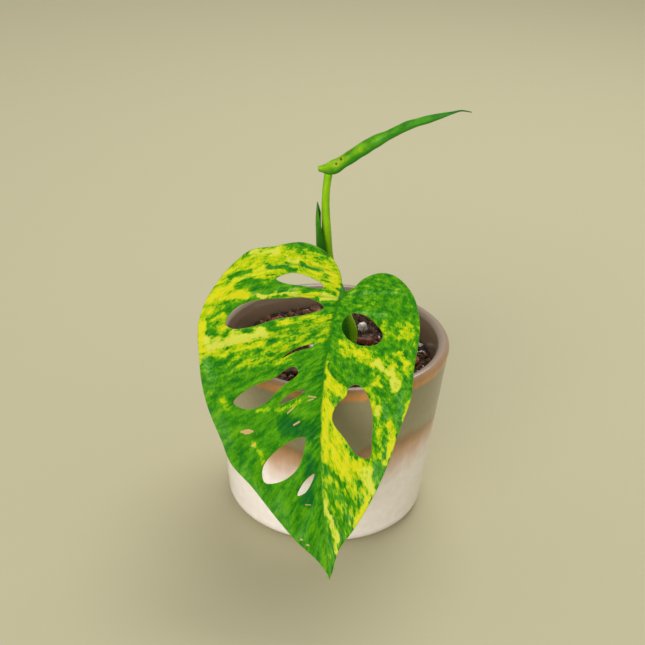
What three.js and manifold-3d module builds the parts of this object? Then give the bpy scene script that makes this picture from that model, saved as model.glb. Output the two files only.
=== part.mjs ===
// A young variegated monstera in a small stoneware pot.
// Millimetres, +Z up, origin at the centre of the pot's flat base, the leaf hangs towards -Y.
import * as THREE from 'three';
import { mergeVertices } from 'three/addons/utils/BufferGeometryUtils.js';
import Module from 'manifold-3d';

const wasm = await Module();
wasm.setup();

// ---------- driving dimensions ----------
const CLEARANCE = 0.3; // gap kept between pieces that touch

const POT_HEIGHT = 92;
const POT_RIM_RADIUS = 57.5;
const POT_BASE_RADIUS = 49.5;
const POT_WALL = 6;
const POT_FLOOR = 7;
const POT_FOOT_ROUND = 7;
const POT_SIDES = 40;

const SOIL_BELOW_RIM = 12.5;
const SOIL_RIPPLE = 0.5;
const FLAKE_SPOTS = 33; // places on the soil for bark and perlite
const BARK_LENGTH = 11;
const BARK_THICKNESS = 2.4;
const PERLITE_SIZE = 4.6;

const STEM_RADIUS = 4.6;
const STEM_BURIED = 34;
const STEM_FOOT = [7.3, -3]; // where the stem leaves the soil
const STEM_SHOWS = 9;
const STEM_SHARES = [0.74, 1, 1, 0.93]; // of the stem's radius, from its foot to its top

const PETIOLE_RADIUS = 1.9;
const PETIOLE_SHARES = [1.37, 1.26, 1.16, 1.05, 1, 0.95, 0.95, 1.05, 1];
const NEW_PETIOLE_SHARES = [1.05, 1.05, 1.05, 1.05, 1.05, 0.95, 0.85, 0.8, 0.9];
const SHEATH_RADIUS = 4.2;
const SHEATH_WALL = 0.9;
const SHEATH_TAPER = 0.3; // share of the radius lost by the free tip
const SHEATH_OPENING = 100; // degrees of the round left open
const SHEATH_FACES = 145; // degrees from the front, round to the right, to the opening's middle

const LEAF_LENGTH = 127; // from the notch to the tip, along the midrib
const LEAF_THICKNESS = 0.7;
const LEAF_LEAN = 35.6; // degrees from hanging straight down
const LEAF_NOTCH_RIGHT = 3.5; // of the pot's axis
const LEAF_NOTCH_INSET = 19.5; // from the front of the rim
const LEAF_NOTCH_ABOVE = 40.5; // the rim
const MIDRIB_SWAY = 7.3; // how far the midrib bows to the left
const MIDRIB_ROUND = 3;
const LEFT_FOLD = 8; // degrees that each half rises from the midrib
const RIGHT_FOLD = 27;
const LEAF_BOW = 5; // how far the middle of the leaf stands proud
const LEAF_CELL = 6; // facet size

const ROLL_RADIUS = 3.4; // the unopened leaf
const ROLL_SHARES = [0.35, 1.08, 0.93, 0.9, 1, 0.85, 0.68, 0.64, 0.6, 0.54, 0.35, 0.13, 0.06];

const FACE_ROUND = 0.7; // radius left flat on a stalk's end

const GLAZE = { color: '#c9b79c', roughness: 0.35, metalness: 0 };
const POTTING_MIX = { color: '#3d2a20', roughness: 0.95, metalness: 0 };
const BARK = { color: '#5d3a26', roughness: 0.9, metalness: 0 };
const PERLITE = { color: '#d9d3c8', roughness: 0.9, metalness: 0 };
const STEM_GREEN = { color: '#3f7d1e', roughness: 0.5, metalness: 0 };
const LEAF_GREEN = { color: '#4f9a1c', roughness: 0.4, metalness: 0 };
const LIME_GREEN = { color: '#8cc10c', roughness: 0.45, metalness: 0 };

// ---------- solids ----------
const toSolid = (geometry) => {
  const bare = geometry.clone();
  bare.deleteAttribute('normal');
  bare.deleteAttribute('uv');
  const merged = mergeVertices(bare, 1e-4);
  return new wasm.Manifold(new wasm.Mesh({
    numProp: 3,
    vertProperties: new Float32Array(merged.attributes.position.array),
    triVerts: new Uint32Array(merged.index.array),
  }));
};

const toGeometry = (solid) => {
  const { vertProperties, triVerts, numProp } = solid.getMesh();
  const position = new THREE.Float32BufferAttribute(vertProperties, numProp);
  return new THREE.BufferGeometry().setAttribute('position', position)
    .setIndex(new THREE.Uint32BufferAttribute(triVerts, 1));
};

const namedMesh = (name, geometry, finish) => {
  geometry.computeVertexNormals();
  const mesh = new THREE.Mesh(geometry, new THREE.MeshStandardMaterial(finish));
  mesh.name = name;
  return mesh;
};

// Moves every vertex of a geometry to where place(point) says.
const reshape = (geometry, place) => {
  const position = geometry.attributes.position;
  const point = new THREE.Vector3();
  for (let i = 0; i < position.count; i += 1) {
    place(point.fromBufferAttribute(position, i));
    position.setXYZ(i, point.x, point.y, point.z);
  }
  return geometry;
};

const uprightLathe = (profile, sides) => new THREE.LatheGeometry(profile, sides).rotateX(Math.PI / 2);

const smoothPath = (points) => new THREE.CatmullRomCurve3(
  points.map((p) => new THREE.Vector3(...p)), false, 'centripetal');

// Bends a straight shape that stands on z = 0..1 along a path; side stays its local x direction.
// Whatever reaches past z = 0 or 1 runs straight on from the path's end.
const bendAlong = (geometry, path, side) => reshape(geometry, (p) => {
  const along = THREE.MathUtils.clamp(p.z, 0, 1);
  const forward = path.getTangentAt(along);
  const across = side.clone().addScaledVector(forward, -side.dot(forward)).normalize();
  const up = forward.clone().cross(across);
  const offset = across.multiplyScalar(p.x).addScaledVector(up, p.y)
    .addScaledVector(forward, (p.z - along) * path.getLength());
  p.copy(path.getPointAt(along)).add(offset);
});

// A round stalk along a path. shares of the radius are spread evenly along it, both ends have a
// small round, and extra is the room left all round when the stalk is used to cut.
const stalk = (path, radius, shares, side, { sides = 10, steps = 16, extra = 0 } = {}) => {
  const radiusAt = (t) => {
    const place = t * (shares.length - 1);
    const first = Math.min(Math.floor(place), shares.length - 2);
    return radius * THREE.MathUtils.lerp(shares[first], shares[first + 1], place - first) + extra;
  };
  const past = extra / path.getLength();
  const start = new THREE.Vector2(radiusAt(0) * FACE_ROUND, -past);
  const end = new THREE.Vector2(radiusAt(1) * FACE_ROUND, 1 + past);
  const profile = [new THREE.Vector2(0, -past), start];
  const endRound = 0.5 / steps;
  for (let i = 0; i <= steps; i += 1) {
    const t = THREE.MathUtils.clamp(i / steps, endRound, 1 - endRound);
    profile.push(new THREE.Vector2(radiusAt(t), t));
  }
  profile.push(end, new THREE.Vector2(0, 1 + past));
  return bendAlong(uprightLathe(profile, sides), path, side);
};

// ---------- pot ----------
const potRadiusAt = (z) => {
  const share = (z - POT_FOOT_ROUND) / (POT_HEIGHT - POT_FOOT_ROUND);
  return THREE.MathUtils.lerp(POT_BASE_RADIUS, POT_RIM_RADIUS, Math.max(share, 0));
};

const arc = (x, z, radius, from, to, steps) => Array.from({ length: steps + 1 }, (_, i) => {
  const angle = THREE.MathUtils.degToRad(THREE.MathUtils.lerp(from, to, i / steps));
  return new THREE.Vector2(x + radius * Math.cos(angle), z + radius * Math.sin(angle));
});

const makePot = () => {
  const lip = POT_WALL / 2;
  const innerFoot = POT_FOOT_ROUND - POT_WALL / 2;
  const innerFootRadius = potRadiusAt(POT_FLOOR + innerFoot) - POT_WALL;
  const profile = [
    new THREE.Vector2(0, 0),
    ...arc(POT_BASE_RADIUS - POT_FOOT_ROUND, POT_FOOT_ROUND, POT_FOOT_ROUND, -90, 0, 5),
    new THREE.Vector2(potRadiusAt(POT_HEIGHT / 2), POT_HEIGHT / 2),
    ...arc(POT_RIM_RADIUS - lip, POT_HEIGHT - lip, lip, 0, 180, 6),
    new THREE.Vector2(potRadiusAt(POT_HEIGHT / 2) - POT_WALL, POT_HEIGHT / 2),
    ...arc(innerFootRadius - innerFoot, POT_FLOOR + innerFoot, innerFoot, 0, -90, 3),
    new THREE.Vector2(0, POT_FLOOR),
  ];
  return uprightLathe(profile, POT_SIDES);
};

// ---------- soil ----------
const SOIL_LEVEL = POT_HEIGHT - SOIL_BELOW_RIM;
const SOIL_RADIUS = potRadiusAt(SOIL_LEVEL) - POT_WALL - CLEARANCE;

const soilTop = (x, y) => SOIL_LEVEL
  + SOIL_RIPPLE * (Math.sin(x / 7 + 1) * Math.cos(y / 8) - 1);

const stemPath = smoothPath([
  [STEM_FOOT[0] - 4, STEM_FOOT[1] + 2, SOIL_LEVEL - STEM_BURIED],
  [STEM_FOOT[0] - 1.5, STEM_FOOT[1] + 0.5, SOIL_LEVEL - STEM_BURIED / 2],
  [...STEM_FOOT, SOIL_LEVEL],
  [STEM_FOOT[0] + 0.3, STEM_FOOT[1], SOIL_LEVEL + STEM_SHOWS],
]);
const FRONT = new THREE.Vector3(0, -1, 0);
const SKY = new THREE.Vector3(0, 0, 1);
const stem = (extra) => stalk(stemPath, STEM_RADIUS, STEM_SHARES, FRONT, { extra });

const makeSoil = () => {
  const foot = POT_FOOT_ROUND;
  const bottom = POT_FLOOR + CLEARANCE;
  const wallAt = (z) => potRadiusAt(z) - POT_WALL - 2 * CLEARANCE;
  const profile = [
    new THREE.Vector2(0, bottom),
    new THREE.Vector2(wallAt(bottom) - foot, bottom),
    new THREE.Vector2(wallAt(bottom + foot), bottom + foot),
    new THREE.Vector2(wallAt(SOIL_LEVEL), SOIL_LEVEL - 1.5),
  ];
  const rings = 6;
  for (let i = 0; i < rings; i += 1) {
    profile.push(new THREE.Vector2((SOIL_RADIUS - 1.2) * (1 - i / rings), SOIL_LEVEL));
  }
  profile.push(new THREE.Vector2(0, SOIL_LEVEL));
  const body = reshape(uprightLathe(profile, POT_SIDES), (p) => {
    if (p.z > SOIL_LEVEL - 1) p.z = soilTop(p.x, p.y);
  });
  return toGeometry(toSolid(body).subtract(toSolid(stem(CLEARANCE))));
};

// ---------- bark flakes and perlite on the soil ----------
const hash = (n) => {
  const s = Math.sin(n * 12.9898) * 43758.5453;
  return s - Math.floor(s);
};

const barkFlake = (seed) => {
  const corners = 6;
  const shape = new THREE.Shape(Array.from({ length: corners }, (_, i) => {
    const angle = (i + 0.5 * hash(seed + i)) / corners * 2 * Math.PI;
    const reach = BARK_LENGTH / 2 * (0.75 + 0.25 * hash(seed * 3 + i));
    return new THREE.Vector2(reach * Math.cos(angle), 0.62 * reach * Math.sin(angle));
  }));
  const depth = BARK_THICKNESS * (0.8 + 0.4 * hash(seed + 7));
  const tilt = 0.22 * (hash(seed + 11) - 0.5);
  return new THREE.ExtrudeGeometry(shape, { depth, bevelEnabled: false })
    .rotateX(tilt).rotateY(tilt).rotateZ(2 * Math.PI * hash(seed + 5));
};

const perliteLump = (seed) => {
  const radius = PERLITE_SIZE / 2 * (0.75 + 0.35 * hash(seed + 2));
  const lump = mergeVertices(new THREE.IcosahedronGeometry(radius, 0).deleteAttribute('normal')
    .deleteAttribute('uv'));
  return reshape(lump, (p) => p.multiplyScalar(0.85 + 0.3 * hash(p.x * 3 + p.y * 5 + seed)));
};

// Lowers a loose piece until it rests on the soil at (x, y).
const restOnSoil = (geometry, x, y) => {
  geometry.translate(x, y, 0);
  const position = geometry.attributes.position;
  let drop = Infinity;
  for (let i = 0; i < position.count; i += 1) {
    drop = Math.min(drop, position.getZ(i) - soilTop(position.getX(i), position.getY(i)));
  }
  return geometry.translate(0, 0, CLEARANCE - drop);
};

const looseTopping = () => {
  const pieces = [];
  const outer = SOIL_RADIUS - BARK_LENGTH / 2 - 2 * CLEARANCE;
  const stemRoom = STEM_RADIUS + BARK_LENGTH / 2 + 1;
  const count = { bark_chip: 0, perlite: 0 };
  for (let i = 0; i < FLAKE_SPOTS; i += 1) {
    const angle = i * Math.PI * (3 - Math.sqrt(5)) + 0.35;
    const reach = outer * Math.sqrt((i + 0.5) / (FLAKE_SPOTS - 0.5));
    const [x, y] = [reach * Math.cos(angle), reach * Math.sin(angle)];
    if (Math.hypot(x - STEM_FOOT[0], y - STEM_FOOT[1]) < stemRoom) continue;
    const kind = i % 3 === 1 ? 'perlite' : 'bark_chip';
    const geometry = kind === 'perlite' ? perliteLump(i) : barkFlake(i);
    count[kind] += 1;
    const name = `${kind}_${String(count[kind]).padStart(2, '0')}`;
    pieces.push(namedMesh(name, restOnSoil(geometry, x, y), kind === 'perlite' ? PERLITE : BARK));
  }
  return pieces;
};

// ---------- mature leaf ----------
// The blade is drawn flat in [across, down]: across is to the right of the notch, down is
// towards the tip. Each half starts at the notch and ends at the tip.
const DRAWN_LENGTH = 127; // what the margins and holes are drawn for
const LEFT_MARGIN = [
  [0, 0], [-1.5, -8.5], [-5.5, -15.5], [-11.5, -20], [-20, -22], [-32.5, -19], [-42, -16.5],
  [-49, -10], [-54.5, -2.5], [-60.5, 9.5], [-62.7, 20], [-61.5, 33], [-59.5, 45], [-56, 56],
  [-49.5, 69.5], [-45, 79], [-35.5, 88.5], [-25, 100.5], [-15, 111], [-6, 118.5], [-1.3, 124],
  [0, DRAWN_LENGTH],
];
const RIGHT_MARGIN = [
  [0, 0], [4, -1.3], [9, -6], [16.5, -8.3], [23, -6.3], [29.8, 1.5], [32.9, 12], [33.2, 22],
  [31.5, 35], [30.5, 48.5], [26.5, 61.5], [22, 77], [16, 92], [9, 105], [3.5, 113.5],
  [1, 123.5], [0, DRAWN_LENGTH],
];
const HOLES = {
  upper_slit: [[-30, -3.7], [-24, -6.9], [-17.5, -6.5], [-9, -2.4], [-9.2, -1], [-18, -1.4], [-27, -2.2]],
  long_left: [[-50.8, 18.5], [-48.5, 12.7], [-41.5, 7.8], [-25, 4.8], [-14.5, 4.2], [-8.2, 7.8],
    [-15, 11.3], [-29, 14.8], [-40, 19], [-47.5, 20.3]],
  upper_right: [[0, 15.5], [3.5, 10.4], [9.5, 11.2], [14, 14.5], [18, 20.8], [15.5, 24.6],
    [8.5, 25], [2.3, 21.3]],
  thin_slit: [[-25.6, 32], [-20.5, 27.7], [-12, 24.8], [-12.2, 25.7], [-20, 28.8]],
  slanted_left: [[-23, 36.6], [-19.8, 35.4], [-18, 38], [-24.8, 44.5], [-32.5, 52.8], [-39.5, 55.3],
    [-45.3, 52.8], [-38, 45.5], [-28.5, 41]],
  small_left: [[-25.8, 52.3], [-20.5, 46.9], [-14.4, 45.2], [-18.5, 49]],
  lower_right: [[7.6, 42.4], [11.3, 45.2], [14.6, 54], [15, 66], [14.4, 73.9], [9.6, 73.2],
    [3.8, 66.3], [-2.2, 57.8], [-0.2, 50.9], [3.2, 47.5], [4.6, 43.5]],
  lower_left: [[-14, 66.1], [-13.5, 70], [-16.9, 80.7], [-24, 86], [-30, 86.4], [-31.2, 80.5],
    [-28, 75], [-19.5, 67.8]],
  near_midrib: [[-15.6, 91.3], [-12.2, 89.7], [-8.8, 81.6], [-13.2, 85.5]],
};

const leafScale = LEAF_LENGTH / DRAWN_LENGTH;

const midribAt = (down) => {
  const share = THREE.MathUtils.clamp(down / LEAF_LENGTH, 0, 1);
  return -MIDRIB_SWAY * leafScale * Math.sin(Math.PI * share ** 0.8);
};

// How far the folded, bowed blade stands out of its flat drawing.
const bladeRise = (across, down) => {
  const side = across - midribAt(down);
  const slope = Math.tan(THREE.MathUtils.degToRad(side > 0 ? RIGHT_FOLD : LEFT_FOLD));
  const fold = slope * (Math.hypot(side, MIDRIB_ROUND) - MIDRIB_ROUND);
  const share = down / LEAF_LENGTH;
  return fold + LEAF_BOW * 4 * share * (1 - share);
};

// An outline through hand-placed points, in the drawing's x = across, y = -down.
const outline = (points, closed, spacing) => {
  const places = points.map(([across, down]) => new THREE.Vector3(across, -down, 0)
    .multiplyScalar(leafScale));
  const curve = new THREE.CatmullRomCurve3(places, closed, 'centripetal');
  const steps = Math.max(8, Math.round(curve.getLength() / spacing));
  return curve.getSpacedPoints(steps).slice(0, -1).map((p) => new THREE.Vector2(p.x, p.y));
};

const prism = (points) => {
  const depth = 6 * (LEAF_BOW + LEAF_LENGTH / 10);
  const geometry = new THREE.ExtrudeGeometry(new THREE.Shape(points), { depth, bevelEnabled: false });
  return toSolid(geometry.translate(0, 0, -depth / 2));
};

const makeBlade = () => {
  const rightSide = outline([...RIGHT_MARGIN].reverse(), false, 4);
  const edge = [...outline(LEFT_MARGIN, false, 4), ...rightSide];
  const box = new THREE.Box2().setFromPoints(edge).expandByScalar(1);
  const size = box.getSize(new THREE.Vector2());
  const middle = box.getCenter(new THREE.Vector2());
  const sheet = new THREE.BoxGeometry(size.x, size.y, LEAF_THICKNESS,
    Math.round(size.x / LEAF_CELL), Math.round(size.y / LEAF_CELL), 1)
    .translate(middle.x, middle.y, 0);
  reshape(sheet, (p) => { p.z += bladeRise(p.x, -p.y); });
  let blade = toSolid(sheet).intersect(prism(edge));
  for (const hole of Object.values(HOLES)) blade = blade.subtract(prism(outline(hole, true, 3)));
  return toGeometry(blade);
};

// The petiole climbs in front of the new one, leans out and meets the blade behind its notch.
const notch = new THREE.Vector3(LEAF_NOTCH_RIGHT, LEAF_NOTCH_INSET - POT_RIM_RADIUS,
  POT_HEIGHT + LEAF_NOTCH_ABOVE);
const stemTop = stemPath.getPointAt(1).add(new THREE.Vector3(0, 0, CLEARANCE));
const fromStem = (x, y, z) => [stemTop.x + x, stemTop.y + y, stemTop.z + z];
const fromNotch = (x, y, z) => [notch.x + x, notch.y + y, notch.z + z];

const petiolePath = smoothPath([
  fromStem(-1, -1.8, 0), fromStem(-2.6, -2.4, 12), fromStem(-7.5, -2, 23.5), fromNotch(-6.4, 31, -10),
  fromNotch(-7.6, 28, -3.5), fromNotch(-6.8, 22, 0), fromNotch(-4.8, 14, 1), fromNotch(-2.6, 6.5, 0.6),
  fromNotch(-1.1, 1.5, -1), fromNotch(-0.5, -1.5, -3.4),
]);
const sheathPath = smoothPath([
  fromStem(0, 0, 0), fromStem(0.3, 0.2, 7), fromStem(-2.7, 0.4, 14.5), fromStem(-8.8, 1.3, 29),
  fromStem(-13.3, 2.9, 44), fromStem(-14.6, 3.8, 56), fromStem(-15.1, 4.2, 62), fromStem(-14.9, 4.8, 72),
]);
const newPetiolePath = smoothPath([
  fromStem(0.5, 0.8, 1), fromStem(0.4, 0.8, 7), fromStem(-2.2, 1.2, 15), fromStem(-7.7, 2.6, 29),
  fromStem(-11.4, 4, 43), fromStem(-12.9, 5, 57), fromStem(-13.8, 5.8, 68), fromStem(-13.9, 6, 76),
  fromStem(-13, 6, 86),
]);
const newPetiole = (extra) => stalk(newPetiolePath, PETIOLE_RADIUS, NEW_PETIOLE_SHARES, FRONT,
  { extra });

// A channel that wraps the new petiole, open at the back right, tapering to a free tip.
const sheathShell = () => {
  const half = THREE.MathUtils.degToRad(SHEATH_OPENING / 2);
  const inner = 1 - SHEATH_WALL / SHEATH_RADIUS;
  const opening = THREE.MathUtils.degToRad(SHEATH_FACES);
  const section = new THREE.Shape()
    .absarc(0, 0, 1, opening + half, opening - half + 2 * Math.PI, false)
    .absarc(0, 0, inner, opening - half + 2 * Math.PI, opening + half, true);
  const straight = new THREE.ExtrudeGeometry(section, {
    depth: 1, steps: 16, curveSegments: 9, bevelEnabled: false,
  });
  reshape(straight, (p) => {
    const radius = SHEATH_RADIUS * (1 - SHEATH_TAPER * p.z);
    p.x *= radius;
    p.y *= radius;
  });
  return toSolid(bendAlong(straight, sheathPath, FRONT));
};

// Everything above a plane through a point, as a block to cut with.
const blockAbove = (point, normal, reach = 120) => {
  const turn = new THREE.Quaternion().setFromUnitVectors(new THREE.Vector3(0, 0, 1), normal);
  return toSolid(new THREE.BoxGeometry(reach, reach, reach).translate(0, 0, reach / 2)
    .applyQuaternion(turn).translate(point.x, point.y, point.z));
};

const bladeTurn = new THREE.Euler(THREE.MathUtils.degToRad(90 - LEAF_LEAN), 0, 0);
const bladeNormal = new THREE.Vector3(0, 0, 1).applyEuler(bladeTurn);

const makePetiole = () => {
  const behindBlade = notch.clone().addScaledVector(bladeNormal, -LEAF_THICKNESS / 2 - 1.5 * CLEARANCE);
  const round = stalk(petiolePath, PETIOLE_RADIUS, PETIOLE_SHARES, FRONT, { steps: 22 });
  const reachesBlade = toSolid(round).subtract(blockAbove(behindBlade, bladeNormal));
  const slantPoint = new THREE.Vector3(...fromStem(-10.9, 0, 44));
  const slant = new THREE.Vector3(0.95, -0.15, 0.26).normalize();
  const sheath = sheathShell().subtract(blockAbove(slantPoint, slant));
  const joined = sheath.add(reachesBlade).subtract(toSolid(newPetiole(CLEARANCE)));
  const stemClear = blockAbove(stemTop, SKY);
  return toGeometry(joined.intersect(stemClear));
};

// ---------- new leaf, still rolled ----------
const rollPath = smoothPath([
  fromStem(-17.7, 6.5, 86.1), fromStem(-12.4, 5, 87.3), fromStem(-6, 3.5, 91.9), fromStem(1.9, 1, 98.7),
  fromStem(7, -1, 103), fromStem(13, -2.5, 107), fromStem(21.4, -5, 112.7), fromStem(30.6, -7, 116.8),
  fromStem(39.5, -9, 120.5), fromStem(43.5, -10, 122), fromStem(47.9, -11, 121.9),
]);
const roll = (extra) => stalk(rollPath, ROLL_RADIUS, ROLL_SHARES, SKY,
  { sides: 12, steps: 24, extra });

const makeNewPetiole = () => toGeometry(
  toSolid(newPetiole(0)).subtract(toSolid(roll(CLEARANCE))));

// ---------- assembly ----------
const plant = new THREE.Group();
plant.add(namedMesh('pot', makePot(), GLAZE));
plant.add(namedMesh('potting_mix', makeSoil(), POTTING_MIX));
plant.add(...looseTopping());
plant.add(namedMesh('stem', stem(0), STEM_GREEN));
plant.add(namedMesh('mature_leaf_petiole', makePetiole(), STEM_GREEN));

const blade = namedMesh('mature_leaf_blade', makeBlade(), LEAF_GREEN);
blade.position.copy(notch);
blade.rotation.copy(bladeTurn);
plant.add(blade);

plant.add(namedMesh('new_leaf_petiole', makeNewPetiole(), LIME_GREEN));
plant.add(namedMesh('new_leaf_roll', roll(0), LEAF_GREEN));

export default plant;
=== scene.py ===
import math
import random
from functools import partial

import bmesh
import bpy
import numpy as np
from bpy.props import FloatProperty, FloatVectorProperty, IntProperty, PointerProperty
from mathutils import Euler, Matrix, Vector, noise
from mathutils.geometry import delaunay_2d_cdt
from mathutils.kdtree import KDTree


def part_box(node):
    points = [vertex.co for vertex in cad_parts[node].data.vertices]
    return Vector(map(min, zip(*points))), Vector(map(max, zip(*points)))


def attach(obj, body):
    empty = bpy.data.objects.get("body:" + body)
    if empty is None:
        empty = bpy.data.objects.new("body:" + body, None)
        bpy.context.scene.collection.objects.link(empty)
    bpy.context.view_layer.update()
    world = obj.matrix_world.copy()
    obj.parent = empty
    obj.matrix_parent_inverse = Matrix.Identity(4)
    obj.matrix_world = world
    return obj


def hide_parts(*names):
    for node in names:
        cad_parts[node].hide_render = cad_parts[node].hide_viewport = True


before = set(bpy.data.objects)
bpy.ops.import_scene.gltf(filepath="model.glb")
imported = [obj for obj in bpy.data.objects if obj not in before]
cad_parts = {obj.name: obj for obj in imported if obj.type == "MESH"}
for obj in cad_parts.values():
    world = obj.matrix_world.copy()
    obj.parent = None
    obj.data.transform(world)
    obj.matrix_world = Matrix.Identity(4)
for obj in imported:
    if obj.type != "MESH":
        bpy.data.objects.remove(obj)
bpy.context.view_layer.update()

bl_info = {
    "name": "Potted Variegated Monstera",
    "version": (1, 0, 0),
    "blender": (4, 5, 0),
    "location": "3D View > Sidebar > Monstera",
    "description": "Builds the finished pieces of a young variegated monstera in a stoneware pot",
    "category": "Add Mesh",
}

MM = 0.001

RIM_RADIUS, POT_HEIGHT = (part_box("pot")[1][axis] / MM for axis in (0, 2))
SOIL_RADIUS, SOIL_LEVEL = (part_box("potting_mix")[1][axis] / MM for axis in (0, 2))

# The rest of the pot, in millimetres.
BASE_RADIUS = 49.5
WALL = 6.0
FLOOR = 7.0
FOOT_ROUND = 7.0
GLAZE_RUN = 170.0  # from the foot over the lip to near the inner floor

BLACK = (0.0, 0.0, 0.0, 1.0)
WHITE = (1.0, 1.0, 1.0, 1.0)
FULL_TURN = 2 * math.pi

FRONT = np.array([0.0, -1.0, 0.0])
SKY = np.array([0.0, 0.0, 1.0])
STEM_TOP = np.array([7.6, -3.0, POT_HEIGHT - 3.2])  # where both petioles start
NOTCH = np.array([3.5, -38.0, POT_HEIGHT + 40.5])  # where the petiole meets the blade
BLADE_LEAN = math.radians(35.6)  # how far the blade's face looks up


# ---------- materials ----------
def srgb(hex_colour):
    """A linear RGBA colour from an sRGB hex value."""
    channels = [int(hex_colour[i : i + 2], 16) / 255 for i in (1, 3, 5)]
    linear = [c / 12.92 if c <= 0.04045 else ((c + 0.055) / 1.055) ** 2.4 for c in channels]
    return (*linear, 1.0)


def rgb(hex_colour):
    """The same colour without its alpha, as a colour property wants it."""
    return srgb(hex_colour)[:3]


def set_inputs(node, inputs):
    """Gives a node's inputs their values, or links from a socket or from another node's result."""
    for key, value in inputs.items():
        if isinstance(value, bpy.types.Node):
            value = next(socket for socket in value.outputs if socket.enabled)
        if isinstance(value, bpy.types.NodeSocket):
            node.id_data.links.new(value, node.inputs[key])
        else:
            node.inputs[key].default_value = srgb(value) if isinstance(value, str) else value


def add_node(tree, kind, inputs=None, stops=None, **settings):
    """Adds a node with its settings, its inputs as values or links, and a ramp's stops."""
    made = tree.nodes.new(kind)
    for key, value in settings.items():
        setattr(made, key, value)
    set_inputs(made, inputs or {})
    if stops:
        elements = made.color_ramp.elements
        while len(elements) < len(stops):
            elements.new(1.0)
        for element, (place, colour) in zip(elements, stops):
            element.position = place
            element.color = srgb(colour) if isinstance(colour, str) else colour
    return made


def new_material(name):
    """An empty node material, add_node for its tree, and its Principled shader."""
    material = bpy.data.materials.new(name)
    material.use_nodes = True
    tree = material.node_tree
    return material, partial(add_node, tree), tree.nodes["Principled BSDF"]


# ---------- shapes, in millimetres until they become a mesh ----------
def smooth_path(points, count, closed=False):
    """Evenly spaced points on a centripetal Catmull-Rom curve."""
    points = np.array(points, float)
    if closed:
        ring = np.vstack([points[-1:], points, points[:2]])
    else:
        ring = np.vstack([2 * points[0] - points[1], points, 2 * points[-1] - points[-2]])
    t = np.linspace(0, 1, 25)[:-1, None]
    runs = []
    for p0, p1, p2, p3 in zip(ring, ring[1:], ring[2:], ring[3:]):
        d0, d1, d2 = (max(np.linalg.norm(b - a), 1e-9) ** 0.5 for a, b in ((p0, p1), (p1, p2), (p2, p3)))
        m1 = d1 * ((p1 - p0) / d0 - (p2 - p0) / (d0 + d1) + (p2 - p1) / d1)
        m2 = d1 * ((p2 - p1) / d1 - (p3 - p1) / (d1 + d2) + (p3 - p2) / d2)
        runs.append(p1 + m1 * t + (3 * (p2 - p1) - 2 * m1 - m2) * t**2 + (2 * (p1 - p2) + m1 + m2) * t**3)
    runs.append(ring[1:2] if closed else ring[-2:-1])
    fine = np.vstack(runs)
    along = np.concatenate([[0], np.cumsum(np.linalg.norm(np.diff(fine, axis=0), axis=1))])
    wanted = np.linspace(0, along[-1], count)
    return np.column_stack([np.interp(wanted, along, fine[:, k]) for k in range(fine.shape[1])])


def path_length(path):
    """The length of a line of points."""
    return float(np.linalg.norm(np.diff(path, axis=0), axis=1).sum())


def smoothstep(low, high, value):
    """0 below low and 1 above high, with a soft rise between them."""
    share = np.clip((value - low) / (high - low), 0, 1)
    return share * share * (3 - 2 * share)


def noise_at(points, scale, seed=0.0):
    """Perlin noise, about -1 to 1, at flat or solid points for a feature size, all in millimetres."""
    offset = Vector((seed * 17.3, seed * 5.1, seed * 9.7))
    places = np.asarray(points, float).tolist()
    return np.array([noise.noise(Vector(p).to_3d() / scale + offset) for p in places])


def sweep(path, section_at, side):
    """A closed skin of one section after another along a path, with a UV of around and along."""
    count = len(path)
    forward = np.gradient(path, axis=0)
    forward /= np.linalg.norm(forward, axis=1)[:, None]
    across = side - (forward @ side)[:, None] * forward
    across /= np.linalg.norm(across, axis=1)[:, None]
    up = np.cross(forward, across)
    rings = [section_at(i / (count - 1)) for i in range(count)]
    around = len(rings[0])
    vertices = np.vstack([path[i] + ring[:, :1] * across[i] + ring[:, 1:] * up[i]
                          for i, ring in enumerate(rings)])
    ends = [rings[0].mean(axis=0), rings[-1].mean(axis=0)]
    centres = np.array([path[k] + ends[k][0] * across[k] + ends[k][1] * up[k] for k in (0, -1)])
    vertices = np.vstack([vertices, centres])
    length = path_length(path)
    heights = [length * i / (count - 1) for i in range(count)]
    faces = ring_faces(count, around)
    uvs = [(u / around, v) for low, high in zip(heights, heights[1:]) for j in range(around)
           for u, v in ((j, low), (j + 1, low), (j + 1, high), (j, high))]
    first, last = count * around, count * around + 1
    top = (count - 1) * around
    for j in range(around):
        k = (j + 1) % around
        faces += [(first, k, j), (last, top + j, top + k)]
        uvs += [(u / around, 0.0) for u in (j, j + 1, j)] + [(u / around, length) for u in (j, j, j + 1)]
    return vertices, faces, uvs


def circle(radius, sides=28):
    """Points round a circle, whose radius may differ from point to point."""
    angle = np.arange(sides) / sides * FULL_TURN
    return np.column_stack([radius * np.cos(angle), radius * np.sin(angle)])


def ring_faces(rings, sides, start=0, inward=False):
    """Quads from each ring of points to the next one, where the first ring begins at a point's number."""
    faces = []
    for low in range(start, start + (rings - 1) * sides, sides):
        for j in range(sides):
            k = (j + 1) % sides
            a, b, c, d = low + j, low + k, low + sides + k, low + sides + j
            faces.append((a, d, c, b) if inward else (a, b, c, d))
    return faces


def spread(values, t):
    """Values spread evenly over 0 to 1, read at t with soft corners."""
    place = np.linspace(0, 1, len(values))
    near = [np.interp(np.clip(t + d, 0, 1), place, values) for d in (-0.02, 0, 0.02)]
    return float(np.mean(near))


def stalk(path, radius, shares):
    """A round stalk with softly closed ends, its width given in shares of a radius."""
    length = path_length(path)

    def section(t):
        size = radius * spread(shares, t)
        to_end = min(t, 1 - t) * length
        rounded = math.sqrt(max(0.0, 1 - max(0.0, 1 - to_end / (0.6 * size)) ** 2))
        return circle(size * max(0.35, rounded))

    return sweep(path, section, FRONT)


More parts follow.
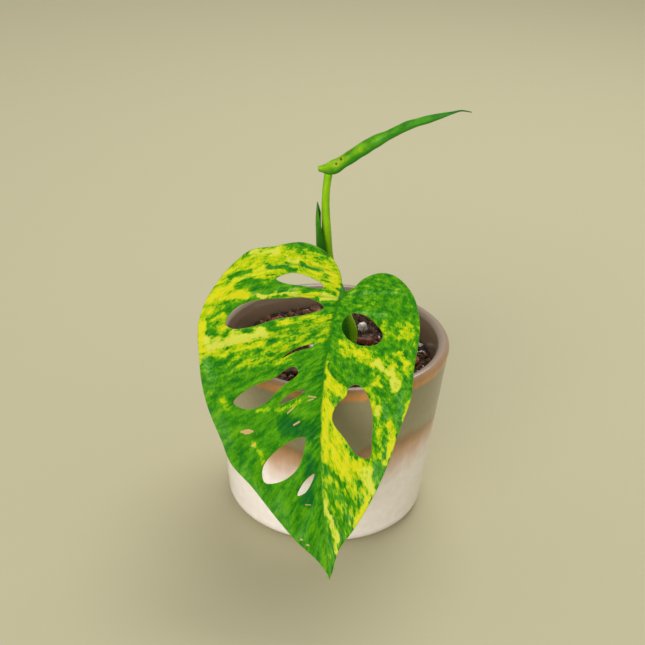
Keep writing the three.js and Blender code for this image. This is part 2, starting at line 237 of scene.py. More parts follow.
def join_shapes(shapes):
    """Several shapes as one list of vertices, faces and UVs."""
    vertices, faces, uvs, start = [], [], [], 0
    for shape_vertices, shape_faces, shape_uvs in shapes:
        vertices.append(shape_vertices)
        faces += [tuple(v + start for v in face) for face in shape_faces]
        uvs += shape_uvs
        start += len(shape_vertices)
    return np.vstack(vertices), faces, uvs


def make_piece(name, material, vertices, faces, uvs=None):
    """A smooth-shaded object at the origin from a shape in millimetres."""
    mesh = bpy.data.meshes.new(name)
    mesh.from_pydata((np.asarray(vertices) * MM).tolist(), [], faces)
    if uvs:
        layer = mesh.uv_layers.new(name="UVMap")
        layer.data.foreach_set("uv", np.array(uvs, np.float32).ravel())
    mesh.materials.append(material)
    mesh.polygons.foreach_set("use_smooth", [True] * len(mesh.polygons))
    mesh.validate()
    mesh.update()
    piece = bpy.data.objects.new(name, mesh)
    bpy.context.scene.collection.objects.link(piece)
    return piece


def set_attribute(mesh, name, kind, values):
    """Stores a value or a vector at each point, for a material to read."""
    attribute = mesh.attributes.new(name, kind, "POINT")
    key = "value" if kind == "FLOAT" else "vector"
    attribute.data.foreach_set(key, np.asarray(values, np.float32).ravel())


def finish_piece(piece, nodes):
    """Fixes a piece to the frame in place of its plain solids."""
    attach(piece, "root")
    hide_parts(*nodes)


def nodes_named(start):
    """The frame's nodes whose names begin alike, in order."""
    return sorted(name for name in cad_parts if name.startswith(start))


# ---------- pot ----------
def pot_profile():
    """The pot's wall from the middle of its base, over the lip, to the middle of its inner floor."""
    def radius_at(z):
        share = max((z - FOOT_ROUND) / (POT_HEIGHT - FOOT_ROUND), 0)
        return BASE_RADIUS + (RIM_RADIUS - BASE_RADIUS) * share

    def arc(x, z, radius, start, stop, steps):
        angles = np.radians(np.linspace(start, stop, steps))
        return [(x + radius * math.cos(a), z + radius * math.sin(a)) for a in angles]

    lip = WALL / 2
    inner_foot = FOOT_ROUND - lip
    inner_radius = radius_at(FLOOR + inner_foot) - WALL
    points = [(0, 0), (20, 0)]
    points += arc(BASE_RADIUS - FOOT_ROUND, FOOT_ROUND, FOOT_ROUND, -90, 0, 14)
    points += [(radius_at(z), z) for z in np.linspace(FOOT_ROUND + 2, POT_HEIGHT - lip - 2, 42)]
    points += arc(RIM_RADIUS - lip, POT_HEIGHT - lip, lip, 0, 180, 20)
    inner_heights = np.linspace(POT_HEIGHT - lip - 2, FLOOR + inner_foot + 2, 42)
    points += [(radius_at(z) - WALL, z) for z in inner_heights]
    points += arc(inner_radius - inner_foot, FLOOR + inner_foot, inner_foot, 0, -90, 8)
    points += [(0, FLOOR)]
    return np.array(points)


def throwing_marks(radius, z):
    """The faint ripple a potter's fingers leave, in millimetres."""
    if radius < BASE_RADIUS * 0.8:
        return 0.0
    fade = float(smoothstep(3, 12, z) * (1 - smoothstep(POT_HEIGHT - 8, POT_HEIGHT - 3, z)))
    return fade * (0.05 * math.sin(z * 1.15) + 0.05 * math.sin(z * 0.47 + 1))


def glaze_share(height):
    """Where a height on the outer wall lies on the glaze's run; it goes on over the lip and down inside."""
    return (height - FOOT_ROUND) / GLAZE_RUN


def reactive_glaze(colours):
    """Reactive-glazed stoneware, dipped twice: a taupe coat that breaks to tan where it thins at the lip
    and runs through peach into a chalky white coat below. Inside the pot, painted shade darkens the coat
    downwards. The eye sees soft bands with a satin shine."""
    material, add, shader = new_material("reactive_glazed_stoneware")
    up = glaze_share
    glaze = add("ShaderNodeAttribute", attribute_name="glaze").outputs["Fac"]
    place = add("ShaderNodeTexCoord").outputs["Object"]
    # Soft patches about 36 mm across, and streaks about 6 mm wide and 38 mm long that run down the wall.
    wander = add("ShaderNodeTexNoise", {"Vector": place, "Scale": 28.0, "Detail": 3.0, "Roughness": 0.55})
    drawn_down = add("ShaderNodeVectorMath", {0: place, 1: (160.0, 160.0, 26.0)}, operation="MULTIPLY")
    streaks = add("ShaderNodeTexNoise", {"Vector": drawn_down, "Scale": 1.0, "Detail": 3.0, "Roughness": 0.6})
    moved = glaze
    for pattern, reach in ((wander, 0.035), (streaks, 0.013)):  # up to 6 mm and 2 mm up or down the wall
        shift = add("ShaderNodeMapRange", {
            "Value": pattern, "From Min": 0.25, "From Max": 0.75, "To Min": -reach, "To Max": reach})
        moved = add("ShaderNodeMath", {0: moved, 1: shift}, operation="ADD")
    bands = add("ShaderNodeValToRGB", {0: moved}, stops=[
        (0.0, colours["white"]), (up(36), colours["white"]), (up(42), "#e4cdbf"), (up(48), "#cda589"),
        (up(53), colours["peach"]), (up(57), "#94724a"), (up(61), colours["taupe"]), (up(85), "#8b8160")])
    inside = add("ShaderNodeMapRange", {"Value": glaze, "From Min": up(88), "From Max": up(92)})
    # Painted shade: inside the pot the coat darkens from the inside colour to #5a4836 going down towards the
    # soil.
    inner_coat_with_painted_shade = add("ShaderNodeValToRGB", {0: glaze}, stops=[
        (up(99), colours["inside"]), (up(124), "#5a4836")])
    coated = add("ShaderNodeMix", {0: inside, 6: bands, 7: inner_coat_with_painted_shade}, data_type="RGBA")

    nudge = add("ShaderNodeMath", {0: streaks, 1: 0.014, 2: -0.007}, operation="MULTIPLY_ADD")
    rough_edge = add("ShaderNodeMath", {0: glaze, 1: nudge}, operation="ADD")
    lip = add("ShaderNodeValToRGB", {0: rough_edge}, stops=[
        (up(86), BLACK), (up(87.6), WHITE), (up(89.6), (0.85, 0.85, 0.85, 1)),
        (up(91.6), (0.4, 0.4, 0.4, 1)), (up(95), BLACK)])
    tan = add("ShaderNodeMix", {0: streaks, 6: "#a25c16", 7: "#dd9a48"}, data_type="RGBA")
    depth = add("ShaderNodeSeparateXYZ", {0: place})
    at_front = add("ShaderNodeMapRange", {
        "Value": depth.outputs["Y"], "From Min": 0.03, "From Max": -0.035, "To Min": 0.15, "To Max": 1.0})
    thin = add("ShaderNodeMath", {0: lip, 1: at_front}, operation="MULTIPLY")
    lipped = add("ShaderNodeMix", {0: thin, 6: coated, 7: tan}, data_type="RGBA")

    # Clouding about 4 mm across in the coat, and an orange peel of about 2 mm on its surface.
    grain = add("ShaderNodeTexNoise", {"Vector": place, "Scale": 240.0, "Detail": 4.0})
    cloud = add("ShaderNodeMapRange", {
        "Value": grain, "From Min": 0.3, "From Max": 0.7, "To Min": 0.95, "To Max": 1.04})
    tinted = add("ShaderNodeMix", {0: 1.0, 6: lipped, 7: cloud}, data_type="RGBA", blend_type="MULTIPLY")
    rough = add("ShaderNodeMapRange", {"Value": wander, "To Min": 0.30, "To Max": 0.44})
    orange_peel = add("ShaderNodeTexNoise", {"Vector": place, "Scale": 420.0, "Detail": 2.0})
    bump = add("ShaderNodeBump", {"Height": orange_peel, "Strength": 0.15, "Distance": 0.0002})
    set_inputs(shader, {"Base Color": tinted, "Roughness": rough, "Normal": bump, "IOR": 1.5,
                        "Coat Weight": 0.5, "Coat Roughness": 0.1})
    return material


class MonsteraPotSettings(bpy.types.PropertyGroup):
    """What a user would change on the pot."""
    taupe: FloatVectorProperty(name="Upper glaze", description="Colour of the coat on the upper half", size=3,
                               subtype="COLOR", min=0, max=1, default=rgb("#938967"))
    white: FloatVectorProperty(name="Lower glaze", description="Colour of the coat on the lower half", size=3,
                               subtype="COLOR", min=0, max=1, default=rgb("#efe5dc"))
    sides: IntProperty(name="Sides", description="Facets round the pot", default=144, min=24, max=256)


class MONSTERA_OT_pot(bpy.types.Operator):
    """Turn the glazed stoneware pot"""
    bl_idname = "monstera.pot"
    bl_label = "Stoneware pot"

    def execute(self, context):
        settings = context.scene.monstera_pot
        profile = pot_profile()
        steps = np.linalg.norm(np.diff(profile, axis=0), axis=1)
        walked = np.concatenate([[0], np.cumsum(steps)])
        foot = int(np.argmax(profile[:, 1] >= FOOT_ROUND - 0.01))
        glaze = np.clip((walked - walked[foot]) / GLAZE_RUN, 0, 1)
        sides = settings.sides
        rings = profile[1:-1]
        layers = [np.column_stack([circle(radius + throwing_marks(radius, z), sides), np.full(sides, z)])
                  for radius, z in rings]
        vertices = np.vstack(layers + [[[0, 0, profile[0][1]]], [[0, 0, profile[-1][1]]]])
        faces = ring_faces(len(rings), sides)
        bottom, top = len(rings) * sides, len(rings) * sides + 1
        last = (len(rings) - 1) * sides
        for j in range(sides):
            k = (j + 1) % sides
            faces += [(bottom, k, j), (top, last + j, last + k)]
        material = reactive_glaze({"taupe": (*settings.taupe, 1.0), "white": (*settings.white, 1.0),
                                   "peach": "#b5875c", "inside": "#89735c"})
        piece = make_piece("glazed_pot", material, vertices, faces)
        values = np.concatenate([np.repeat(glaze[1:-1], sides), [0.0, 1.0]])
        set_attribute(piece.data, "glaze", "FLOAT", values)
        finish_piece(piece, ["pot"])
        return {"FINISHED"}


# ---------- potting mix ----------
def peat(name, colours, grain):
    """Moist peat and coir: matt, dark and crumbly. The colour follows the same noise as the bump, so the
    hollows between the crumbs carry painted shade and their tops painted light. The grain is in millimetres."""
    material, add, shader = new_material(name)
    place = add("ShaderNodeTexCoord").outputs["Object"]
    crumbs = add("ShaderNodeTexNoise", {
        "Vector": place, "Scale": 1000 / grain, "Detail": 5.0, "Roughness": 0.65})
    # Painted light and shade: the darkest tone lies in the bump's hollows, the lightest on its tops.
    ramp = add("ShaderNodeValToRGB", {0: crumbs}, stops=list(zip((0.3, 0.5, 0.72), colours)))
    bump = add("ShaderNodeBump", {"Height": crumbs, "Strength": 0.8, "Distance": 0.0006})
    set_inputs(shader, {"Base Color": ramp, "Normal": bump, "Roughness": 0.85})
    return material


def scatter_tree():
    """Geometry Nodes that strew small stretched lumps over a surface."""
    tree = bpy.data.node_groups.new("strewn_crumbs", "GeometryNodeTree")
    interface = tree.interface
    interface.new_socket("Geometry", in_out="INPUT", socket_type="NodeSocketGeometry")
    for name, kind, value in (
        ("Density", "NodeSocketFloat", 1000.0), ("Smallest", "NodeSocketFloat", 0.0005),
        ("Largest", "NodeSocketFloat", 0.001), ("Stretch", "NodeSocketVector", (1.0, 1.0, 1.0)),
        ("Seed", "NodeSocketInt", 1),
    ):
        socket = interface.new_socket(name, in_out="INPUT", socket_type=kind)
        socket.default_value = value
    interface.new_socket("Finish", in_out="INPUT", socket_type="NodeSocketMaterial")
    interface.new_socket("Geometry", in_out="OUTPUT", socket_type="NodeSocketGeometry")
    add = partial(add_node, tree)
    given = add("NodeGroupInput").outputs
    points = add("GeometryNodeDistributePointsOnFaces", {
        "Mesh": given["Geometry"], "Density": given["Density"], "Seed": given["Seed"]})
    turn, wobble = (
        add("FunctionNodeRandomValue", {0: (low,) * 3, 1: (high,) * 3, "Seed": given["Seed"]},
            data_type="FLOAT_VECTOR") for low, high in ((0.0, 6.28), (0.6, 1.3)))
    size = add("FunctionNodeRandomValue", {
        2: given["Smallest"], 3: given["Largest"], "Seed": given["Seed"]}, data_type="FLOAT")
    shape = add("ShaderNodeVectorMath", {0: wobble, 1: given["Stretch"]}, operation="MULTIPLY")
    scale = add("ShaderNodeVectorMath", {0: shape, "Scale": size}, operation="SCALE")
    lump = add("GeometryNodeMeshIcoSphere", {"Radius": 0.5, "Subdivisions": 1})
    strewn = add("GeometryNodeInstanceOnPoints", {
        "Points": points, "Instance": lump, "Rotation": turn, "Scale": scale})
    solid = add("GeometryNodeRealizeInstances", {"Geometry": strewn})
    finished = add("GeometryNodeSetMaterial", {"Geometry": solid, "Material": given["Finish"]})
    add("NodeGroupOutput", {"Geometry": finished})
    return tree


def strew(surface, tree, **inputs):
    """The mesh that the crumbs tree makes on a surface with these inputs."""
    carrier = surface.copy()
    carrier.data = surface.data.copy()
    bpy.context.scene.collection.objects.link(carrier)
    modifier = carrier.modifiers.new("crumbs", "NODES")
    modifier.node_group = tree
    for item in tree.interface.items_tree:
        if item.in_out == "INPUT" and item.name in inputs:
            modifier[item.identifier] = inputs[item.name]
    bpy.context.view_layer.update()
    evaluated = carrier.evaluated_get(bpy.context.evaluated_depsgraph_get())
    mesh = bpy.data.meshes.new_from_object(evaluated)
    bpy.data.objects.remove(carrier)
    return mesh


def merge_meshes(piece, meshes, smooth=False):
    """Adds plain meshes, with their materials, to a piece."""
    body = bmesh.new()
    body.from_mesh(piece.data)
    for mesh in meshes:
        slots = []
        for material in mesh.materials:
            if material and material.name not in piece.data.materials:
                piece.data.materials.append(material)
            slots.append(piece.data.materials.find(material.name) if material else 0)
        start = len(body.faces)
        body.from_mesh(mesh)
        body.faces.ensure_lookup_table()
        for face in body.faces[start:]:
            face.material_index = slots[min(face.material_index, len(slots) - 1)]
            face.smooth = smooth
    body.to_mesh(piece.data)
    body.free()


def soil_height(x, y):
    """The lumpy top of the mix, in millimetres, a little heaped at the back left."""
    points = np.column_stack([x, y])
    lumps = 1.1 * noise_at(points, 11, 3) + 0.7 * noise_at(points, 4, 5)
    edge = smoothstep(SOIL_RADIUS - 5, SOIL_RADIUS, np.hypot(x, y))
    heaped = 2.4 * np.exp(-(((x + 15) / 32) ** 2) - ((y - 40) / 15) ** 2)
    return SOIL_LEVEL - 0.9 + lumps - 0.8 * edge + heaped


class MonsteraSoilSettings(bpy.types.PropertyGroup):
    """What a user would change on the potting mix."""
    crumb: FloatProperty(name="Crumb", description="Size of the larger crumbs", default=0.0024, min=0.0008,
                         max=0.005, unit="LENGTH")
    peat: FloatVectorProperty(name="Peat", description="Colour of the moist peat", size=3, subtype="COLOR",
                              min=0, max=1, default=rgb("#2b1b12"))
    seed: IntProperty(name="Seed", description="Changes how the crumbs lie", default=7, min=0)


class MONSTERA_OT_potting_mix(bpy.types.Operator):
    """Fill the pot with crumbly potting mix"""
    bl_idname = "monstera.potting_mix"
    bl_label = "Potting mix"

    def execute(self, context):
        settings = context.scene.monstera_soil
        rings, sides = 60, 140
        reach = SOIL_RADIUS - 0.2
        foot_level = SOIL_LEVEL - 30  # the rest of the mix below is out of sight
        x, y = np.vstack([[(0.0, 0.0)]] + [circle(share * reach, sides)
                                           for share in np.linspace(0, 1, rings + 1)[1:]]).T
        top = np.column_stack([x, y, soil_height(x, y)])
        foot = np.column_stack([circle(0.93 * reach, sides), np.full(sides, foot_level)])
        vertices = np.vstack([top, foot, [[0, 0, foot_level]]])
        surface_faces = [(0, 1 + j, 1 + (j + 1) % sides) for j in range(sides)]
        surface_faces += ring_faces(rings, sides, start=1, inward=True)
        faces = list(surface_faces)
        rim, low = 1 + (rings - 1) * sides, len(top)
        for j in range(sides):
            k = (j + 1) % sides
            faces += [(rim + j, low + j, low + k, rim + k), (low + sides, low + k, low + j)]
        # The darkest tone, about a third of the peat colour, lies in the crumbs' hollows: damp peat and
        # painted shade.
        damp = tuple(0.35 * channel for channel in settings.peat)
        dark = peat("moist_peat", [(*damp, 1), (*settings.peat, 1), "#4b3223"], 3)
        brown = peat("coir_crumbs", ["#3a2214", "#623b22", "#94643c"], 2)
        pale = peat("perlite_crumbs", ["#9c9182", "#cfc6b8", "#efe9dd"], 2)
        fibre = peat("coir_fibre", ["#4a2f1b", "#7d5734", "#a87f50"], 4)
        piece = make_piece("potting_mix_surface", dark, vertices, faces)
        surface = make_piece("soil_top", dark, top, surface_faces)
        tree = scatter_tree()
        crumb = settings.crumb
        meshes = [  # how many to the square metre, smallest and largest in crumbs, how long, wide and thick
            strew(surface, tree, Density=density, Smallest=smallest * crumb, Largest=largest * crumb,
                  Stretch=stretch, Seed=settings.seed + number, Finish=finish)
            for number, (density, smallest, largest, stretch, finish) in enumerate([
                (330000.0, 0.35, 1.0, (1.0, 0.9, 0.8), dark), (130000.0, 0.4, 1.9, (1.2, 0.8, 0.6), brown),
                (14000.0, 0.4, 1.3, (1.0, 1.0, 0.9), pale), (26000.0, 0.5, 0.9, (5.0, 0.22, 0.22), fibre),
            ])]
        bpy.data.objects.remove(surface)
        merge_meshes(piece, meshes)
        finish_piece(piece, ["potting_mix"])
        return {"FINISHED"}


def orchid_bark():
    """Pine bark chips: split plates with a fibrous grain, red-brown on fresh faces and dark where damp."""
    material, add, shader = new_material("pine_bark")
    place = add("ShaderNodeTexCoord")
    # Fibres about 0.7 mm wide and 4 mm long, drawn coarser than real ones so that they show, and damp
    # patches about 6 mm across.
    stretched = add("ShaderNodeVectorMath", {0: place.outputs["UV"], 1: (1.0, 0.16, 1.0)},
                    operation="MULTIPLY")
    grain = add("ShaderNodeTexNoise", {"Vector": stretched, "Scale": 1.4, "Detail": 5.0, "Roughness": 0.6})
    damp = add("ShaderNodeTexNoise", {"Vector": place.outputs["Object"], "Scale": 160.0, "Detail": 2.0})
    both = add("ShaderNodeMath", {0: grain, 1: damp}, operation="ADD")
    middling = add("ShaderNodeMath", {0: both, 1: 0.5}, operation="MULTIPLY")
    ramp = add("ShaderNodeValToRGB", {0: middling}, stops=[
        (0.38, "#22110a"), (0.46, "#51301f"), (0.54, "#84492b"), (0.64, "#b5764a")])
    bump = add("ShaderNodeBump", {"Height": grain, "Strength": 0.9, "Distance": 0.0005})
    set_inputs(shader, {"Base Color": ramp, "Normal": bump, "Roughness": 0.72})
    return material


def expanded_perlite():
    """Expanded perlite: a chalky glass foam, off-white, pitted and quite matt."""
    material, add, shader = new_material("expanded_perlite")
    place = add("ShaderNodeTexCoord").outputs["Object"]
    # Pits about 0.8 mm across, drawn coarser than real ones so that they show, and dust in patches of 4 mm.
    pits = add("ShaderNodeTexVoronoi", {"Vector": place, "Scale": 1300.0})
    dust = add("ShaderNodeTexNoise", {"Vector": place, "Scale": 260.0, "Detail": 3.0})
    ramp = add("ShaderNodeValToRGB", {0: dust}, stops=[
        (0.33, "#8d7f70"), (0.47, "#cbc2b4"), (0.62, "#efeae0")])
    bump = add("ShaderNodeBump", {"Height": pits, "Strength": 0.7, "Distance": 0.0004})
    set_inputs(shader, {"Base Color": ramp, "Normal": bump, "Roughness": 0.8})
    return material


def lump_shape(centre, sizes, turn, seed, roughness, roundness):
    """An irregular lump: a subdivided cube pushed out of true by noise, in millimetres."""
    body = bmesh.new()
    bmesh.ops.create_cube(body, size=1.0)
    bmesh.ops.subdivide_edges(body, edges=body.edges[:], cuts=7, use_grid_fill=True)
    points = np.array([v.co for v in body.verts])
    faces = [tuple(v.index for v in f.verts) for f in body.faces]
    body.free()
    ball = points / np.linalg.norm(points, axis=1)[:, None] * 0.62
    points = points + (ball - points) * roundness
    skew = (0.55 - roundness / 2) * math.sin(seed * 2.4)  # so that no chip is quite square
    points[:, :2] *= 1 + skew * points[:, 1::-1]
    size = np.array(sizes)
    normals = points / np.linalg.norm(points, axis=1)[:, None]
    bumps = noise_at(points * size, max(sizes) * 0.35, seed) + 0.5 * noise_at(points * size, 1.3, seed + 1)
    points = points * size + normals * (roughness * bumps)[:, None]
    uvs = [(float(points[v][1]), float(points[v][0])) for face in faces for v in face]
    points = points @ np.array(Euler(turn).to_matrix()).T + np.array(centre)
    return points, faces, uvs


def topping(name, start, material, sizes, roughness, roundness, seed):
    """One piece of lumps, one lump at each of the frame's loose nodes of that name."""
    random.seed(seed)
    shapes = []
    names = nodes_named(start)
    for number, node_name in enumerate(names):
        low, high = (np.array(corner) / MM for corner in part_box(node_name))
        share = [random.uniform(0.8, 1.1), random.uniform(0.7, 1.15), random.uniform(0.85, 1.15)]
        turn = (random.uniform(-0.25, 0.25), random.uniform(-0.25, 0.25), random.uniform(0, FULL_TURN))
        size = [s * k for s, k in zip(sizes, share)]
        shapes.append(lump_shape((low + high) / 2, size, turn, seed + number, roughness, roundness))
    finish_piece(make_piece(name, material, *join_shapes(shapes)), names)


class MONSTERA_OT_bark(bpy.types.Operator):
    """Lay the bark chips on the mix"""
    bl_idname = "monstera.bark"
    bl_label = "Bark chips"

    def execute(self, context):
        topping("bark_chips", "bark_chip", orchid_bark(), (10.5, 6.4, 2.6), 0.95, 0.4, 40)
        return {"FINISHED"}


class MONSTERA_OT_perlite(bpy.types.Operator):
    """Lay the perlite lumps on the mix"""
    bl_idname = "monstera.perlite"
    bl_label = "Perlite"

    def execute(self, context):
        topping("perlite_lumps", "perlite", expanded_perlite(), (4.6, 3.9, 3.7), 0.75, 0.9, 90)
        return {"FINISHED"}


# ---------- stem, petioles and sheath ----------
def from_stem(x, y, z):
    """A place given from where both petioles start."""
    return STEM_TOP + np.array([x, y, z])


def from_notch(x, y, z):
    """A place given from where the petiole meets the blade."""
    return NOTCH + np.array([x, y, z])


STEM_PATH = [(3.3, -1, SOIL_LEVEL - 34), (5.8, -2.5, SOIL_LEVEL - 17), (7.3, -3, SOIL_LEVEL),
             (7.6, -3, SOIL_LEVEL + 9.2)]
PETIOLE_PATH = [
    from_stem(-1, -1.8, -1), from_stem(-2.6, -2.4, 12), from_stem(-7.5, -2, 23.5), from_notch(-6.4, 31, -10),
    from_notch(-7.6, 28, -3.5), from_notch(-6.8, 22, 0), from_notch(-4.8, 14, 1), from_notch(-2.6, 6.5, 0.6),
    from_notch(-1.1, 1.5, -1), from_notch(-0.5, -1.5, -3.4),
]
SHEATH_PATH = [
    from_stem(0, 0, -1), from_stem(0.3, 0.2, 7), from_stem(-2.7, 0.4, 14.5), from_stem(-8.8, 1.3, 29),
    from_stem(-13.3, 2.9, 44), from_stem(-14.6, 3.8, 56), from_stem(-15.1, 4.2, 62),
    from_stem(-14.9, 4.8, 72),
]
NEW_PETIOLE_PATH = [
    from_stem(0.5, 0.8, 0), from_stem(0.4, 0.8, 7), from_stem(-2.2, 1.2, 15), from_stem(-7.7, 2.6, 29),
    from_stem(-11.4, 4, 43), from_stem(-12.9, 5, 57), from_stem(-13.8, 5.8, 68), from_stem(-13.9, 6, 76),
    from_stem(-13, 6, 86),
]
ROLL_PATH = [
    from_stem(-17.7, 6.5, 86.1), from_stem(-12.4, 5, 87.3), from_stem(-6, 3.5, 91.9), from_stem(1.9, 1, 98.7),
    from_stem(7, -1, 103), from_stem(13, -2.5, 107), from_stem(21.4, -5, 112.7), from_stem(30.6, -7, 116.8),
    from_stem(39.5, -9, 120.5), from_stem(43.5, -10, 122), from_stem(47.9, -11, 121.9),
]


def living_stalk(name, tones, gloss, wide):
    """A soft green stalk: a waxy skin over wet tissue, with pale fibres that run its length."""
    material, add, shader = new_material(name)
    place = add("ShaderNodeTexCoord")
    # As many fibres round the stalk as wide says, about 18 mm long and drawn coarser than real ones so that
    # they show, and blotches about 10 mm across.
    run = add("ShaderNodeVectorMath", {0: place.outputs["UV"], 1: (wide, 0.055, 1.0)}, operation="MULTIPLY")
    fibres = add("ShaderNodeTexNoise", {"Vector": run, "Scale": 1.0, "Detail": 4.0, "Roughness": 0.6})
    blotch = add("ShaderNodeTexNoise", {"Vector": place.outputs["Object"], "Scale": 95.0, "Detail": 2.0})
    both = add("ShaderNodeMix", {0: 0.45, 2: fibres, 3: blotch}, data_type="FLOAT")
    ramp = add("ShaderNodeValToRGB", {0: both}, stops=list(zip((0.36, 0.5, 0.64), tones)))
    bump = add("ShaderNodeBump", {"Height": fibres, "Strength": 0.3, "Distance": 0.0002})
    set_inputs(shader, {"Base Color": ramp, "Normal": bump, "Roughness": gloss, "IOR": 1.42,
                        "Specular IOR Level": 0.2, "Subsurface Weight": 0.18,
                        "Subsurface Radius": (0.4, 0.8, 0.1), "Subsurface Scale": 0.0015})
    return material


def cut_away(piece, point, normal):
    """Takes off whatever lies beyond a plane, and closes the cut."""
    body = bmesh.new()
    body.from_mesh(piece.data)
    parts = body.verts[:] + body.edges[:] + body.faces[:]
    bmesh.ops.bisect_plane(body, geom=parts, plane_co=Vector(point * MM), plane_no=Vector(normal),
                           clear_outer=True)
    bmesh.ops.holes_fill(body, edges=[e for e in body.edges if e.is_boundary], sides=0)
    body.to_mesh(piece.data)
    body.free()


class MonsteraStalkSettings(bpy.types.PropertyGroup):
    """What a user would change on the stalks."""
    stem_radius: FloatProperty(name="Stem radius", description="Radius of the stem at the soil",
                               default=0.0046, min=0.002, max=0.008, unit="LENGTH")
    petiole_radius: FloatProperty(name="Petiole radius", description="Radius of a petiole halfway up",
                                  default=0.0019, min=0.001, max=0.004, unit="LENGTH")
    sheath_radius: FloatProperty(name="Sheath radius", description="Outer radius of the sheath at its foot",
                                 default=0.0042, min=0.003, max=0.007, unit="LENGTH")


class MONSTERA_OT_stem(bpy.types.Operator):
    """Grow the short stem"""
    bl_idname = "monstera.stem"
    bl_label = "Stem"

    def execute(self, context):
        radius = context.scene.monstera_stalks.stem_radius / MM
        path = smooth_path(STEM_PATH, 70)
        length = path_length(path)

        def section(t):
            along = t * length
            size = radius * spread([0.74, 1, 1, 0.97], t)
            size += 0.35 * math.exp(-((along - 41) / 0.9) ** 2)  # the ring that an old leaf left
            size -= 0.2 * math.exp(-((along - 39.4) / 0.6) ** 2)  # and the groove under it
            return circle(size if 0 < t < 1 else size * 0.6, 36)

        material = living_stalk("green_stem_skin", ["#3c5a1c", "#5c8a26", "#8aa83a"], 0.5, 9.0)
        piece = make_piece("stem_base", material, *sweep(path, section, FRONT))
        finish_piece(piece, ["stem"])
        return {"FINISHED"}


class MONSTERA_OT_petiole(bpy.types.Operator):
    """Grow the mature leaf's petiole and the sheath at its foot"""
    bl_idname = "monstera.petiole"
    bl_label = "Mature leaf petiole and sheath"

    def execute(self, context):
        settings = context.scene.monstera_stalks
        material = living_stalk("petiole_skin", ["#185808", "#2c760a", "#58980c"], 0.42, 7.0)
        shares = [1.37, 1.26, 1.16, 1.05, 1, 0.95, 0.95, 1.08, 1.1]
        path = smooth_path(PETIOLE_PATH, 110)
        shape = stalk(path, settings.petiole_radius / MM, shares)
        piece = make_piece("mature_petiole", material, *shape)
        blade_normal = np.array([0, -math.cos(BLADE_LEAN), math.sin(BLADE_LEAN)])
        cut_away(piece, NOTCH + 0.2 * blade_normal, blade_normal)

        outer = settings.sheath_radius / MM
        opening, half_opening, steps = math.radians(145), math.radians(50), 34
        angles = np.linspace(opening + half_opening, opening - half_opening + FULL_TURN, steps)
        to_edge = np.minimum(np.arange(steps), np.arange(steps)[::-1]) / 16
        wall = 0.35 + 0.55 * smoothstep(0, 0.5, to_edge)  # thin at its free edges

        def section(t):
            size = outer * (1 - 0.3 * t)
            ring = np.column_stack([np.cos(angles), np.sin(angles)])
            return np.vstack([ring * size, (ring * (size - wall)[:, None])[::-1]])

        sheath = make_piece("sheath", material, *sweep(smooth_path(SHEATH_PATH, 120), section, FRONT))
        slant = Vector((0.95, -0.15, 0.26)).normalized()
        cut_away(sheath, from_stem(-11.5, 0, 44), np.array(slant))
        merge_meshes(piece, [sheath.data], smooth=True)
        bpy.data.objects.remove(sheath)
        finish_piece(piece, ["mature_leaf_petiole"])
        return {"FINISHED"}


class MONSTERA_OT_new_petiole(bpy.types.Operator):
    """Grow the new leaf's petiole inside the sheath"""
    bl_idname = "monstera.new_petiole"
    bl_label = "New leaf petiole"

    def execute(self, context):
        radius = context.scene.monstera_stalks.petiole_radius / MM
        material = living_stalk("young_petiole_skin", ["#62a004", "#80b406", "#9cc00e"], 0.38, 6.0)
        shares = [1.05, 1.1, 1.18, 1.28, 1.32, 1.22, 1.04, 0.95, 1.0]
        path = smooth_path(NEW_PETIOLE_PATH, 120)
        length = path_length(path)

        def section(t):
            to_end = (1 - t) * length
            rounded = math.sqrt(max(0.0, 1 - max(0.0, 1 - to_end / radius) ** 2))
            size = radius * spread(shares, t) * max(0.35, rounded)
            ring = circle(size)
            clasp = 2.2 * math.exp(-((t * length / 14) ** 2))  # its own sheath round the stem
            ring[:, 1] += clasp * np.clip(ring[:, 1] / size, 0, 1)
            return ring

        piece = make_piece("new_petiole", material, *sweep(path, section, FRONT))
        finish_piece(piece, ["new_leaf_petiole"])
        return {"FINISHED"}


